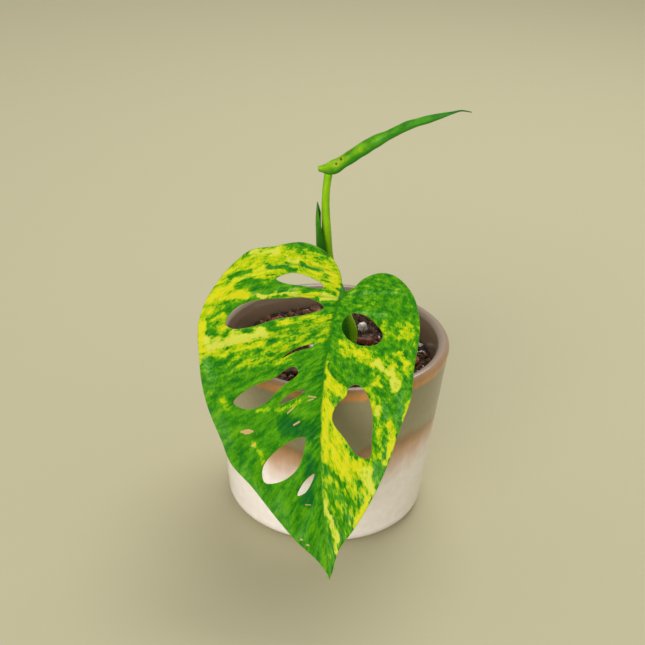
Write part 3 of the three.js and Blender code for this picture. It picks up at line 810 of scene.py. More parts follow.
def furled_leaf_skin():
    """A leaf still rolled: thin, shiny young tissue, lime where it is thickest and deeper green to the tip,
    with parallel veins that run slightly round the roll, a few brown flecks and painted shade along its lower
    side."""
    material, add, shader = new_material("furled_leaf_skin")
    place = add("ShaderNodeTexCoord")
    skin = add("ShaderNodeSeparateXYZ", {0: place.outputs["UV"]})
    # Nine veins round the roll, about 11 mm long, and blotches about 7 mm across.
    run = add("ShaderNodeVectorMath", {0: place.outputs["UV"], 1: (9.0, 0.09, 1.0)}, operation="MULTIPLY")
    veins = add("ShaderNodeTexNoise", {"Vector": run, "Scale": 1.0, "Detail": 4.0, "Roughness": 0.65})
    blotch = add("ShaderNodeTexNoise", {"Vector": place.outputs["Object"], "Scale": 150.0, "Detail": 3.0})
    along = add("ShaderNodeMapRange", {"Value": skin.outputs["Y"], "From Min": 0.0, "From Max": 82.0})
    body = add("ShaderNodeValToRGB", {0: along}, stops=[
        (0.0, "#82b208"), (0.12, "#74a806"), (0.28, "#5c9c08"), (0.55, "#45900e"), (0.8, "#2c7a0e"),
        (0.93, "#155212")])
    both = add("ShaderNodeMix", {0: 0.5, 2: veins, 3: blotch}, data_type="FLOAT")
    tone = add("ShaderNodeValToRGB", {0: both}, stops=[
        (0.40, (0.42, 0.58, 0.5, 1)), (0.5, (0.93, 0.96, 0.9, 1)), (0.6, (1.5, 1.22, 1.1, 1))])
    toned = add("ShaderNodeMix", {0: 1.0, 6: body, 7: tone}, data_type="RGBA", blend_type="MULTIPLY")
    # Painted shade: the lower side of the roll, fixed round it whichever way the leaf winds, is mixed towards
    # a deeper green.
    under = add("ShaderNodeValToRGB", {0: skin.outputs["X"]}, stops=[
        (0.22, BLACK), (0.36, WHITE), (0.62, WHITE), (0.72, BLACK)])
    colour = add("ShaderNodeMix", {0: under, 6: toned, 7: "#2c7d14"}, data_type="RGBA")

    ragged = add("ShaderNodeTexNoise", {"Vector": place.outputs["Object"], "Scale": 900.0})
    nudged = add("ShaderNodeVectorMath", {
        0: ragged.outputs["Color"], 1: (0.0012, 0.0012, 0.0012), 2: place.outputs["Object"]},
        operation="MULTIPLY_ADD")
    flecks = add("ShaderNodeTexVoronoi", {"Vector": nudged, "Scale": 250.0, "Randomness": 1.0})
    some = add("ShaderNodeMath", {0: flecks.outputs["Color"], 1: 0.48}, operation="GREATER_THAN")
    foot = add("ShaderNodeValToRGB", {0: along}, stops=[
        (0.05, BLACK), (0.12, WHITE), (0.28, WHITE), (0.36, BLACK)])
    some_at_foot = add("ShaderNodeMath", {0: foot, 1: some}, operation="MULTIPLY")
    # Each fleck's yellow halo first, then its brown middle.
    for core, rim, strength, tint in ((0.14, 0.5, 0.75, "#a9b80c"), (0.15, 0.23, 0.9, "#4a3210")):
        spot = add("ShaderNodeMapRange", {
            "Value": flecks, "From Min": core, "From Max": rim, "To Min": strength, "To Max": 0.0})
        spot = add("ShaderNodeMath", {0: spot, 1: some_at_foot}, operation="MULTIPLY")
        colour = add("ShaderNodeMix", {0: spot, 6: colour, 7: tint}, data_type="RGBA")
    bump = add("ShaderNodeBump", {"Height": veins, "Strength": 0.45, "Distance": 0.0003})
    set_inputs(shader, {"Base Color": colour, "Normal": bump, "Roughness": 0.42, "IOR": 1.42,
                        "Specular IOR Level": 0.2, "Subsurface Weight": 0.1,
                        "Subsurface Radius": (0.5, 1.0, 0.1), "Subsurface Scale": 0.001})
    return material


class MONSTERA_OT_new_roll(bpy.types.Operator):
    """Roll up the new leaf"""
    bl_idname = "monstera.new_roll"
    bl_label = "Rolled new leaf"

    def execute(self, context):
        shares = [0.35, 1.08, 0.93, 0.9, 1, 0.85, 0.68, 0.64, 0.6, 0.54, 0.35, 0.13, 0.06]
        radius, sides = 3.4, 60

        def section(t):
            size = radius * spread(shares, t) * (1 + 0.03 * math.sin(t * 34) + 0.02 * math.sin(t * 61 + 1))
            seam = 0.06 + 0.22 * t  # it winds slowly round the roll
            wrap = (np.arange(sides) / sides - seam) % 1.0
            lap = 1.04 - 0.17 * wrap - 0.05 * smoothstep(0.93, 1.0, wrap) + 0.03 * np.sin(wrap * 19 + t * 9)
            return circle(size * lap, sides)

        shape = sweep(smooth_path(ROLL_PATH, 220), section, SKY)
        piece = make_piece("furled_leaf", furled_leaf_skin(), *shape)
        finish_piece(piece, ["new_leaf_roll"])
        return {"FINISHED"}


# ---------- mature leaf ----------
# Drawn flat in millimetres as (across, down) from the notch; each margin runs from notch to tip.
LEAF_LENGTH = 127.0
LEFT_MARGIN = [
    (0, 0), (-1.5, -8.5), (-5.5, -15.5), (-11.5, -20), (-20, -22), (-32.5, -19), (-42, -16.5), (-49, -10),
    (-54.5, -2.5), (-60.5, 9.5), (-62.7, 20), (-61.5, 33), (-59.5, 45), (-56, 56), (-49.5, 69.5), (-45, 79),
    (-35.5, 88.5), (-25, 100.5), (-15, 111), (-6, 118.5), (-1.3, 124), (0, LEAF_LENGTH),
]
RIGHT_MARGIN = [
    (0, 0), (4, -1.3), (9, -6), (16.5, -8.3), (23, -6.3), (29.8, 1.5), (32.9, 12), (33.2, 22), (31.5, 35),
    (30.5, 48.5), (26.5, 61.5), (22, 77), (16, 92), (9, 105), (3.5, 113.5), (1, 123.5), (0, LEAF_LENGTH),
]
HOLES = {
    "upper_slit": [(-30, -3.7), (-24, -6.9), (-17.5, -6.5), (-9, -2.4), (-9.2, -1), (-18, -1.4), (-27, -2.2)],
    "long_left": [(-50.8, 18.5), (-48.5, 12.7), (-41.5, 7.8), (-25, 4.8), (-14.5, 4.2), (-8.2, 7.8),
                  (-15, 11.3), (-29, 14.8), (-40, 19), (-47.5, 20.3)],
    "upper_right": [(0, 15.5), (3.5, 10.4), (9.5, 11.2), (14, 14.5), (18, 20.8), (15.5, 24.6), (8.5, 25),
                    (2.3, 21.3)],
    "thin_slit": [(-25.6, 32), (-20.5, 27.7), (-12, 24.8), (-12.2, 25.7), (-20, 28.8)],
    "slanted_left": [(-23, 36.6), (-19.8, 35.4), (-18, 38), (-24.8, 44.5), (-32.5, 52.8), (-39.5, 55.3),
                     (-45.3, 52.8), (-38, 45.5), (-28.5, 41)],
    "small_left": [(-25.8, 52.3), (-20.5, 46.9), (-14.4, 45.2), (-18.5, 49)],
    "lower_right": [(7.6, 42.4), (11.3, 45.2), (14.6, 54), (15, 66), (14.4, 73.9), (9.6, 73.2), (3.8, 66.3),
                    (-2.2, 57.8), (-0.2, 50.9), (3.2, 47.5), (4.6, 43.5)],
    "lower_left": [(-14, 66.1), (-13.5, 70), (-16.9, 80.7), (-24, 86), (-30, 86.4), (-31.2, 80.5), (-28, 75),
                   (-19.5, 67.8)],
    "near_midrib": [(-15.6, 91.3), (-12.2, 89.7), (-8.8, 81.6), (-13.2, 85.5)],
}

# How the side veins of each half leave the midrib: where, how steeply, and how much they bend.
LEFT_VEINS = [(-14, -0.55, 0.013), (0, -0.32, 0.008), (8, 0.1, 0.003), (20, 0.45, 0.0), (30, 0.62, 0.0),
              (50, 0.88, 0.0), (75, 1.25, 0.0), (100, 1.75, 0.0), (135, 2.3, 0.0)]
RIGHT_VEINS = [(-10, -0.3, 0.012), (0, -0.05, 0.008), (12, 0.35, 0.004), (30, 0.8, 0.0), (45, 1.15, 0.0),
               (60, 1.5, 0.0), (90, 2.1, 0.0), (135, 2.8, 0.0)]
# The main side veins, by where they leave the midrib.
LEFT_MAIN_VEINS = [-7, 3.5, 14.5, 26, 46, 68, 88, 104]
RIGHT_MAIN_VEINS = [-4, 4, 27, 34, 60, 74, 90, 105]

# What a stroke's tone sets: share of yellow tissue, cream, painted sheen (a bluish-grey highlight painted
# into the colour) and depth of the green.
TONES = {
    "yellow": (0.96, 0.1, 0.0, 0.2), "bright": (0.74, 0.1, 0.0, 0.15), "cream": (0.95, 0.85, 0.0, 0.2),
    "lime": (0.5, 0.0, 0.0, 0.2), "green": (0.12, 0.0, 0.0, 0.38), "deep": (-0.05, 0.0, 0.15, 0.82),
    "painted_sheen": (0.26, 0.0, 0.65, 0.35),
}
# Brush strokes of the variegation and of the painted sheen, later ones over earlier ones: a tone, half the
# stroke's width, and the points it runs through.
STROKES = [
    ("bright", 8.0, [(-54, 0), (-44, -8), (-30, -12), (-14, -10), (-5, -6)]),
    ("lime", 5.0, [(-38, 30), (-20, 24), (-8, 18)]), ("lime", 4.0, [(-46, 36), (-26, 32)]),
    ("lime", 6.0, [(5, 29), (16, 34), (26, 36)]), ("lime", 9.0, [(0, 84), (8, 92), (8, 100)]),
    ("bright", 3.0, [(2, 84), (9, 88)]), ("lime", 4.5, [(19, 17), (31, 21)]),
    ("bright", 4.0, [(-55, 12), (-52, 20)]), ("green", 1.8, [(-36, -20), (-24, -22), (-12, -20.5)]),
    ("yellow", 2.2, [(-8, -9), (-4, -4), (-1.5, -0.5)]), ("cream", 1.6, [(-27, -14), (-16, -10.5)]),
    ("cream", 1.4, [(-41, -14), (-31, -16.5)]), ("yellow", 1.8, [(-39, -4.5), (-31, -5)]),
    ("green", 0.9, [(-34, -9), (-22, -8)]), ("green", 0.8, [(-20, -12), (-12, -9)]),
    ("green", 0.9, [(-50, -3), (-42, -6.5)]), ("green", 2.0, [(-46, 1), (-38, 0), (-24, 0.5), (-14, 1)]),
    ("painted_sheen", 1.1, [(-42, 4), (-33, 2.5), (-22, 0.5)]), ("cream", 1.2, [(-37, 5), (-28, 3.6), (-19, 2)]),
    ("yellow", 1.0, [(-18, 2.8), (-11, 3)]), ("cream", 1.5, [(-10, 4.6), (-3, 2.6)]),
    ("deep", 0.7, [(-9, 7.2), (-4, 7.2)]), ("yellow", 3.0, [(-57, 4), (-44, 5)]),
    ("yellow", 3.2, [(-60, 9), (-61.5, 20), (-60.5, 33)]),
    ("green", 0.9, [(-58.5, 25), (-58, 18), (-54, 12.5), (-46, 9)]),
    ("green", 0.8, [(-58, 26.5), (-52, 24.5), (-50, 21.5)]),
    ("cream", 3.2, [(-57, 27.5), (-46, 25), (-34, 21.5)]),
    ("bright", 2.2, [(-54, 31.5), (-44, 29), (-34, 26)]), ("lime", 2.2, [(-32, 20.5), (-18, 22)]),
    ("bright", 1.8, [(-27, 16), (-16, 14), (-6, 12.5)]), ("painted_sheen", 2.4, [(-58, 35), (-54, 41)]),
    ("green", 3.0, [(-52, 38), (-45, 44)]), ("lime", 2.0, [(-54, 50), (-48, 54)]),
    ("deep", 4.0, [(-23, 61), (-12, 64)]), ("lime", 1.4, [(-37, 56), (-27, 55), (-17, 51)]),
    ("lime", 1.2, [(-36, 68), (-32, 77)]), ("deep", 2.6, [(-10.5, 76), (-11.5, 94)]),
    ("green", 0.45, [(-37, 67), (-38, 78), (-34, 87), (-25, 95)]), ("painted_sheen", 1.3, [(4, 1.5), (22, 1)]),
    ("lime", 1.0, [(4, 6), (14, 5)]), ("painted_sheen", 1.6, [(7, 9), (19, 12)]),
    ("bright", 2.0, [(1, 24.5), (8, 27)]), ("yellow", 2.4, [(8, 28), (15, 33)]),
    ("cream", 1.9, [(16, 33), (23, 37.5), (24, 44)]), ("yellow", 1.6, [(16, 39), (18, 45)]),
    ("yellow", 1.5, [(26, 28), (28, 34)]), ("green", 2.6, [(-2, 32), (6, 35), (13, 39)]),
    ("green", 2.2, [(17, 45), (18, 54)]), ("painted_sheen", 2.2, [(26, 48), (26, 55)]),
    ("yellow", 1.0, [(31, 46), (29.5, 56)]), ("bright", 1.8, [(12, 45), (15.5, 54)]),
    ("yellow", 1.3, [(-6, 33), (-3.5, 41)]), ("yellow", 3.2, [(-5.5, 41), (2, 46)]),
    ("bright", 2.2, [(-6, 47), (-4, 54)]), ("yellow", 4.6, [(-4, 54), (-3, 62), (1, 70), (4, 77)]),
    ("yellow", 3.5, [(-5, 66), (-3, 74)]), ("yellow", 4.0, [(2, 77), (10, 78), (15, 78)]),
    ("cream", 2.2, [(13, 79), (15, 89)]), ("green", 1.1, [(-4, 80), (4, 86)]),
    ("green", 1.3, [(-2, 90), (11, 94)]), ("green", 1.8, [(3, 99), (8, 105)]),
    ("cream", 1.1, [(-5, 89), (-2, 98), (1.5, 108), (3, 116)]), ("yellow", 1.1, [(14.5, 90), (9.5, 104)]),
    ("lime", 3.0, [(18.5, 50), (19, 62), (18, 75)]), ("painted_sheen", 1.8, [(19.5, 51), (20, 58)]),
    ("yellow", 1.5, [(22.5, 60), (23.5, 69)]), ("yellow", 0.9, [(30, 50), (27.5, 58)]),
    ("yellow", 1.0, [(23.5, 68), (21, 76)]), ("painted_sheen", 1.5, [(16.5, 76), (17, 84)]),
    ("cream", 1.1, [(16.5, 52), (16.5, 55)]),
]
# Healed scars: half the width of each, and the points it runs through.
SCARS = [
    (1.05, [(-39.4, 65.2), (-37.9, 64.9)]), (0.55, [(-41, 65.3), (-36.6, 64.7)]),
    (0.28, [(-13, 48), (-9.8, 48.2)]), (0.28, [(-21.8, 56), (-19.2, 53.4)]),
    (0.35, [(-18.8, 61), (-16.4, 59.4)]), (0.3, [(-36.5, 71), (-35, 70)]),
    (0.26, [(-12, 95), (-9.8, 95)]), (0.42, [(-13.2, 110), (-12.8, 110)]),
    (0.35, [(-10.5, 112), (-9.8, 112.3)]), (0.4, [(0, 101.8), (0.2, 102.2)]),
    (0.26, [(-13, 50), (-11, 49)]),
]

MIDRIB_BOW = 7.3  # how far the midrib bends to the left of a straight line from notch to tip
RIGHT_FOLD, LEFT_FOLD = math.tan(math.radians(27)), math.tan(math.radians(8))
CREASE = 3.0  # half the width over which the fold rounds off along the midrib
LENGTH_BOW = 5.0  # how far the middle stands out of a straight line from notch to tip
PUFF = 1.15  # how far the blade swells between two main veins
VEIN_DEPTH = 0.3  # how far a main vein sinks into the front
MARBLING = 1.9  # how many times shorter the streaks are on the right half


def midrib_at(down):
    """Where the midrib runs across the flat drawing."""
    share = np.clip(down / LEAF_LENGTH, 0, 1)
    return -MIDRIB_BOW * np.sin(math.pi * share**0.8)


def blade_rise(across, down):
    """How far the folded, bowed blade stands out of its flat drawing."""
    side = across - midrib_at(down)
    slope = np.where(side > 0, RIGHT_FOLD, LEFT_FOLD)
    share = down / LEAF_LENGTH
    return slope * (np.hypot(side, CREASE) - CREASE) + 4 * LENGTH_BOW * share * (1 - share)


def stroke_reach(points, line):
    """Distance of each point from a polyline."""
    nearest = np.full(len(points), 1e9)
    for start, stop in zip(line, line[1:]):
        start, stop = np.array(start, float), np.array(stop, float)
        run = stop - start
        t = np.clip((points - start) @ run / (run @ run), 0, 1)
        nearest = np.minimum(nearest, np.linalg.norm(points - start - t[:, None] * run, axis=1))
    return nearest


def vein_place(side, down):
    """The side vein that runs through each point, as where it leaves the midrib, and flow, the point's
    place in millimetres across and along the veins."""
    result = np.zeros(len(side))
    flow = np.zeros((len(side), 3))
    reach = np.abs(side)
    for table, chosen in ((LEFT_VEINS, side <= 0), (RIGHT_VEINS, side > 0)):
        starts, slopes, bends = np.array(table, float).T
        low, high = np.full(len(side), -60.0), np.full(len(side), 150.0)
        for _ in range(34):  # halving the range each time
            middle = (low + high) / 2
            slope, bend = np.interp(middle, starts, slopes), np.interp(middle, starts, bends)
            above = middle + slope * reach + bend * reach**2 < down
            low, high = np.where(above, middle, low), np.where(above, high, middle)
        vein = (low + high) / 2
        slope = np.interp(vein, starts, slopes)
        ladder = np.linspace(-60, 150, 400)
        narrowing = 1 / np.hypot(1, np.interp(ladder, starts, slopes))
        travelled = np.cumsum(narrowing) * (ladder[1] - ladder[0])
        place = np.column_stack([np.interp(vein, ladder, travelled), side * np.hypot(1, slope), reach * 0])
        place[side > 0, 1] *= MARBLING
        result = np.where(chosen, vein, result)
        flow = np.where(chosen[:, None], place, flow)
    return result, flow


def inside_loop(points, loop):
    """Which points lie inside a closed loop."""
    x, y = points[:, 0], points[:, 1]
    inside = np.zeros(len(points), bool)
    for (ax, ay), (bx, by) in zip(loop, np.roll(loop, -1, axis=0)):
        crosses = (ay > y) != (by > y)
        with np.errstate(divide="ignore", invalid="ignore"):
            inside ^= crosses & (x < (bx - ax) * (y - ay) / (by - ay) + ax)
    return inside


def blade_drawing(spacing):
    """Triangles of the flat blade with its holes, and each point's distance from an edge."""
    def open_side(points):
        path = smooth_path(points, 400)
        return smooth_path(path, max(8, round(path_length(path) / spacing)))[:-1]

    outer = np.vstack([open_side(LEFT_MARGIN), open_side(RIGHT_MARGIN[::-1])])
    loops = [outer]
    for hole in HOLES.values():
        path = smooth_path(hole, 200, closed=True)
        loops.append(smooth_path(hole, max(14, round(path_length(path) / spacing / 0.8)), closed=True)[:-1])
    edges, start = [], 0
    for loop in loops:
        edges += [(start + i, start + (i + 1) % len(loop)) for i in range(len(loop))]
        start += len(loop)
    boundary = np.vstack(loops)
    low, high = outer.min(axis=0), outer.max(axis=0)
    row = spacing * math.sqrt(3) / 2
    grid = []
    for i, y in enumerate(np.arange(low[1], high[1], row)):
        x = np.arange(low[0] + (i % 2) * spacing / 2, high[0], spacing)
        grid.append(np.column_stack([x, np.full(len(x), y)]))
    grid = np.vstack(grid)
    for half_width, line in SCARS:  # finer points round each scar, so that its outline is crisp
        near = stroke_reach(grid, line) < half_width + 1.2
        middle = np.mean(line, axis=0)
        reach = half_width + 1.2 + np.linalg.norm(np.array(line[0]) - middle)
        fine = np.stack(np.meshgrid(*(np.arange(c - reach, c + reach, spacing * 0.42) for c in middle)), -1)
        fine = fine.reshape(-1, 2)
        grid = np.vstack([grid[~near], fine[stroke_reach(fine, line) < half_width + 1.0]])
    keep = inside_loop(grid, outer)
    for loop in loops[1:]:
        keep &= ~inside_loop(grid, loop)
    grid = grid[keep]
    tree = KDTree(len(boundary))
    for i, point in enumerate(boundary):
        tree.insert((*point, 0), i)
    tree.balance()
    clear = np.array([tree.find((*p, 0))[2] for p in grid])
    points = np.vstack([boundary, grid[clear > 0.55 * spacing]])
    found = delaunay_2d_cdt([Vector((x, -y)) for x, y in points], edges, [], 0, 1e-6)
    points = np.array([(v.x, -v.y) for v in found[0]])
    triangles = np.array(found[2])
    centres = points[triangles].mean(axis=1)
    solid = inside_loop(centres, outer)
    for loop in loops[1:]:
        solid &= ~inside_loop(centres, loop)
    distance = np.array([tree.find((*p, 0))[2] for p in points])
    return points, triangles[solid], distance


def blade_relief(points, side, vein, distance):
    """The quilted surface: side veins sunk into the front, the blade puffed between them."""
    relief = 0.5 * noise_at(points, 22, 2) + 0.16 * noise_at(points, 5, 4)
    reach = np.abs(side)
    for veins, chosen in ((LEFT_MAIN_VEINS, side <= 0), (RIGHT_MAIN_VEINS, side > 0)):
        place = np.array(veins, float)
        order = np.searchsorted(place, vein).clip(1, len(place) - 1)
        gap = place[order] - place[order - 1]
        share = np.clip((vein - place[order - 1]) / gap, 0, 1)
        puff = np.sin(math.pi * share) ** 1.2 * smoothstep(0, 9, reach) * smoothstep(0, 6, distance)
        nearest = np.min([np.abs(vein - v) for v in veins], axis=0)
        fading = (1 - smoothstep(25, 55, reach)) * smoothstep(0, 3, distance)
        sunk = VEIN_DEPTH * fading * np.exp(-((nearest / 0.9) ** 2))
        relief += np.where(chosen, PUFF * puff - sunk, 0)
    groove = np.exp(-((side / 0.9) ** 2)) * (0.85 - 0.5 * points[:, 1] / LEAF_LENGTH)
    return relief - groove


def rib_share(side, vein, down):
    """1 on a vein, falling to 0 beside it."""
    reach = np.abs(side)
    share = np.exp(-((side / 0.6) ** 2)) * (1 - 0.5 * np.clip(down / LEAF_LENGTH, 0, 1))
    for veins, chosen in ((LEFT_MAIN_VEINS, side <= 0), (RIGHT_MAIN_VEINS, side > 0)):
        nearest = np.min([np.abs(vein - v) for v in veins], axis=0)
        between = np.min([np.abs(vein - (a + b) / 2) for a, b in zip(veins, veins[1:])], axis=0)
        main_line = 0.45 * np.exp(-((nearest / 0.6) ** 2))
        thin_line = 0.22 * np.exp(-((between / 0.5) ** 2))
        line = np.maximum(main_line, thin_line) * (1 - 0.8 * smoothstep(12, 50, reach))
        share = np.maximum(share, np.where(chosen, line, 0))
    return share


def variegated_cuticle():
    """A variegated monstera blade: waxy cuticle over green tissue, where streaks between the veins lack
    chlorophyll and show lime, yellow or cream, and the veins stay green. Streaks of painted sheen, a
    bluish-grey highlight, lie over it. The gloss is satin and uneven."""
    material, add, shader = new_material("variegated_leaf_cuticle")
    flow, paint, marks, sides = (add("ShaderNodeAttribute", attribute_name=name).outputs["Vector"]
                                 for name in ("flow", "paint", "marks", "sides"))
    yellow, cream, deep = add("ShaderNodeSeparateXYZ", {0: paint}).outputs
    # marks hold a painted sheen (a highlight), the veins and the healed scars.
    painted_sheen, rib, scar = add("ShaderNodeSeparateXYZ", {0: marks}).outputs
    front, edge, busy = add("ShaderNodeSeparateXYZ", {0: sides}).outputs

    grains = []
    for across, along, detail, seed in (
        (0.70, 0.17, 4.0, 3.0),   # streaks, about 1.4 mm wide and 6 mm long
        (0.22, 0.12, 3.0, 11.0),  # patches, about 4 mm wide and 8 mm long
        (1.6, 0.9, 2.0, 23.0),    # flecks, about 0.6 mm wide and 1 mm long
    ):
        run = add("ShaderNodeVectorMath", {0: flow, 1: (across, along, 1.0), 2: (seed, seed * 2.7, seed)},
                  operation="MULTIPLY_ADD")
        grain = add("ShaderNodeTexNoise", {"Vector": run, "Scale": 1.0, "Detail": detail, "Roughness": 0.5})
        grains.append(grain)
    streaks, patches, flecks = grains
    broken = streaks
    for share, grain in ((0.34, patches), (0.22, flecks)):
        broken = add("ShaderNodeMix", {0: share, 2: broken, 3: grain}, data_type="FLOAT")
    swing = add("ShaderNodeMath", {0: broken, 1: 4.2, 2: -2.1}, operation="MULTIPLY_ADD")
    swing = add("ShaderNodeMath", {0: swing, 1: busy}, operation="MULTIPLY")
    yellowness = add("ShaderNodeMath", {0: yellow, 1: swing}, operation="ADD")
    creaminess, depth, painted_sheen_share = (
        add("ShaderNodeMath", {0: swing, 1: share, 2: painted}, operation="MULTIPLY_ADD")
        for share, painted in ((1.0, cream), (-1.0, deep), (0.5, painted_sheen)))

    colour = add("ShaderNodeValToRGB", {0: depth}, stops=[
        (0.0, "#629a08"), (0.25, "#468e03"), (0.55, "#297403"), (0.85, "#126210"), (1.0, "#0c5622")])
    lime_to_yellow = add("ShaderNodeValToRGB", {0: yellowness}, stops=[
        (0.42, "#589604"), (0.54, "#78a804"), (0.68, "#99b404"), (0.90, "#b6be07"), (1.0, "#c6c412")])
    # Each tint over the ones before it: what it follows, from where to where, and how much it covers.
    for value, low, high, cover, tint in (
        # The bluish-grey green #5a9a48 is a painted sheen: a highlight laid into the colour in streaks, not a
        # colour of the tissue.
        (yellowness, 0.30, 0.56, 1.0, lime_to_yellow), (painted_sheen_share, 0.3, 1.0, 0.6, "#5a9a48"),
        # The dark green #226f0c on the veins is partly their own green and partly painted shade along the
        # sunken vein grooves.
        (creaminess, 0.4, 0.95, 0.8, "#c3ca4c"), (rib, 0.12, 0.8, 0.7, "#226f0c"),
        (scar, 0.35, 0.65, 0.85, "#cfa474"), (edge, 0.6, 1.0, 0.5, "#86a816"),
    ):
        share = add("ShaderNodeMapRange", {"Value": value, "From Min": low, "From Max": high,
                                           "To Max": cover}, interpolation_type="SMOOTHSTEP")
        colour = add("ShaderNodeMix", {0: share, 6: colour, 7: tint}, data_type="RGBA")
    back = add("ShaderNodeMix", {0: 0.6, 6: colour, 7: "#8fae55"}, data_type="RGBA")
    colour = add("ShaderNodeMix", {0: front, 6: back, 7: colour}, data_type="RGBA")

    grain = add("ShaderNodeMix", {0: 0.5, 2: streaks, 3: flecks}, data_type="FLOAT")
    bump = add("ShaderNodeBump", {"Height": grain, "Strength": 0.35, "Distance": 0.0003})
    gloss = add("ShaderNodeMapRange", {"Value": patches, "To Min": 0.36, "To Max": 0.52})
    set_inputs(shader, {"Base Color": colour, "Normal": bump, "Roughness": gloss, "IOR": 1.42,
                        "Specular IOR Level": 0.12})
    return material


def blade_skin(drawing, triangles, half, rise, rib):
    """The blade's front and back over a flat drawing, with walls round its margin and holes."""
    across, down, side, distance = drawing.T
    back_rib = 1.3 * np.exp(-((side / 1.1) ** 2)) * (1 - 0.8 * down.clip(0) / LEAF_LENGTH) + 0.7 * rib
    front = np.column_stack([across, -down, rise + half])
    behind = np.column_stack([across, -down, rise - half - back_rib * smoothstep(0, 2, distance)])
    count = len(drawing)
    faces = [tuple(t) for t in triangles.tolist()]
    edges = dict.fromkeys(edge for a, b, c in faces for edge in ((a, b), (b, c), (c, a)))
    faces += [(c + count, b + count, a + count) for a, b, c in faces]
    faces += [(a, a + count, b + count, b) for a, b in edges if (b, a) not in edges]
    return np.vstack([front, behind]), faces


def blade_tissue(points, side, base, lower_left):
    """Shares of yellow tissue, cream, painted sheen and deep green at each point, painted stroke by stroke.
    """
    tissue = np.tile([base, 0.0, 0.0, 0.35], (len(points), 1))
    tissue[:, 0] -= 0.13 * lower_left
    wander = sum(size * np.column_stack([noise_at(points, feature, seed) for seed in (7, 8)])
                 for feature, size in ((6, 1.9), (1.8, 0.7)))
    for tone, half_width, line in STROKES:
        middle = np.mean(line, axis=0)
        own_half = 1 if middle[0] > midrib_at(middle[1]) else -1
        moved = points + min(1, half_width / 1.2) * wander
        cover = 1 - smoothstep(0.4 * half_width, 1.5 * half_width, stroke_reach(moved, line))
        cover *= smoothstep(-0.5, 0.3, own_half * side)
        tissue += cover[:, None] * (np.array(TONES[tone]) - tissue)
    return tissue.T


def blade_scars(points):
    """1 on a healed scar, falling to 0 beside it."""
    scars = np.zeros(len(points))
    for half_width, line in SCARS:
        reach = stroke_reach(points, line)
        scars = np.maximum(scars, 1 - smoothstep(0.7 * half_width, 1.3 * half_width, reach))
    return scars


class MonsteraLeafSettings(bpy.types.PropertyGroup):
    """What a user would change on the mature leaf."""
    thickness: FloatProperty(name="Thickness", description="Thickness of the blade away from its veins",
                             default=0.0006, min=0.0003, max=0.0015, unit="LENGTH")
    spacing: FloatProperty(name="Detail", description="Spacing of the blade's points", default=0.00068,
                           min=0.0005, max=0.003, unit="LENGTH")
    variegation: FloatProperty(name="Variegation", description="How far lime spreads beyond the strokes",
                               default=0.08, min=-0.3, max=0.6, subtype="FACTOR")


class MONSTERA_OT_blade(bpy.types.Operator):
    """Grow the variegated mature leaf"""
    bl_idname = "monstera.blade"
    bl_label = "Mature leaf blade"

    def execute(self, context):
        settings = context.scene.monstera_leaf
        points, triangles, distance = blade_drawing(settings.spacing / MM)
        across, down = points.T
        side = across - midrib_at(down)
        vein, flow = vein_place(side, down)
        rise = blade_rise(across, down) + blade_relief(points, side, vein, distance)
        half = settings.thickness / MM / 2 * (0.45 + 0.55 * smoothstep(0, 1.2, distance))
        rib = rib_share(side, vein, down)
        drawing = np.column_stack([points, side, distance])
        vertices, faces = blade_skin(drawing, triangles, half, rise, rib)
        vertices = vertices @ np.array(Matrix.Rotation(math.radians(90) - BLADE_LEAN, 3, "X")).T + NOTCH
        low, high = (np.array(corner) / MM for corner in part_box("mature_leaf_blade"))
        drift = (low + high) / 2 - (vertices.min(axis=0) + vertices.max(axis=0)) / 2
        if np.abs(drift).max() > 3:
            raise RuntimeError(f"the blade is {drift} mm away from its solid")
        piece = make_piece("variegated_blade", variegated_cuticle(), vertices, faces)

        lower_left = (1 - smoothstep(-6, 0, side)) * smoothstep(35, 65, down)  # nearly all green there
        yellow, cream, painted_sheen, deep = blade_tissue(points, side, settings.variegation, lower_left)
        paint = np.column_stack([yellow, cream, deep])
        # marks: the painted sheen, the veins and the scars.
        marks = np.column_stack([painted_sheen, rib, blade_scars(points)])
        edge = 1 - smoothstep(0, 0.9, distance)
        front = np.column_stack([np.ones(len(points)), edge, 1 - 0.3 * lower_left])
        back = front * np.array([0, 1, 1])
        for name, values in (("flow", [flow, flow]), ("paint", [paint, paint]), ("marks", [marks, marks]),
                             ("sides", [front, back])):
            set_attribute(piece.data, name, "FLOAT_VECTOR", np.vstack(values))
        finish_piece(piece, ["mature_leaf_blade"])
        return {"FINISHED"}


# ---------- stage ----------
class MonsteraStageSettings(bpy.types.PropertyGroup):
    """What a user would change on the stage."""
    floor: FloatVectorProperty(name="Floor", description="Colour of the plain floor", size=3, subtype="COLOR",
                               min=0, max=1, default=rgb("#bab393"))
    key: FloatProperty(name="Key light", description="Power of the large soft light", default=10.0, min=0,
                       subtype="POWER")
    fill: FloatProperty(name="Sky", description="Strength of the even light from all round", default=0.60,
                        min=0)


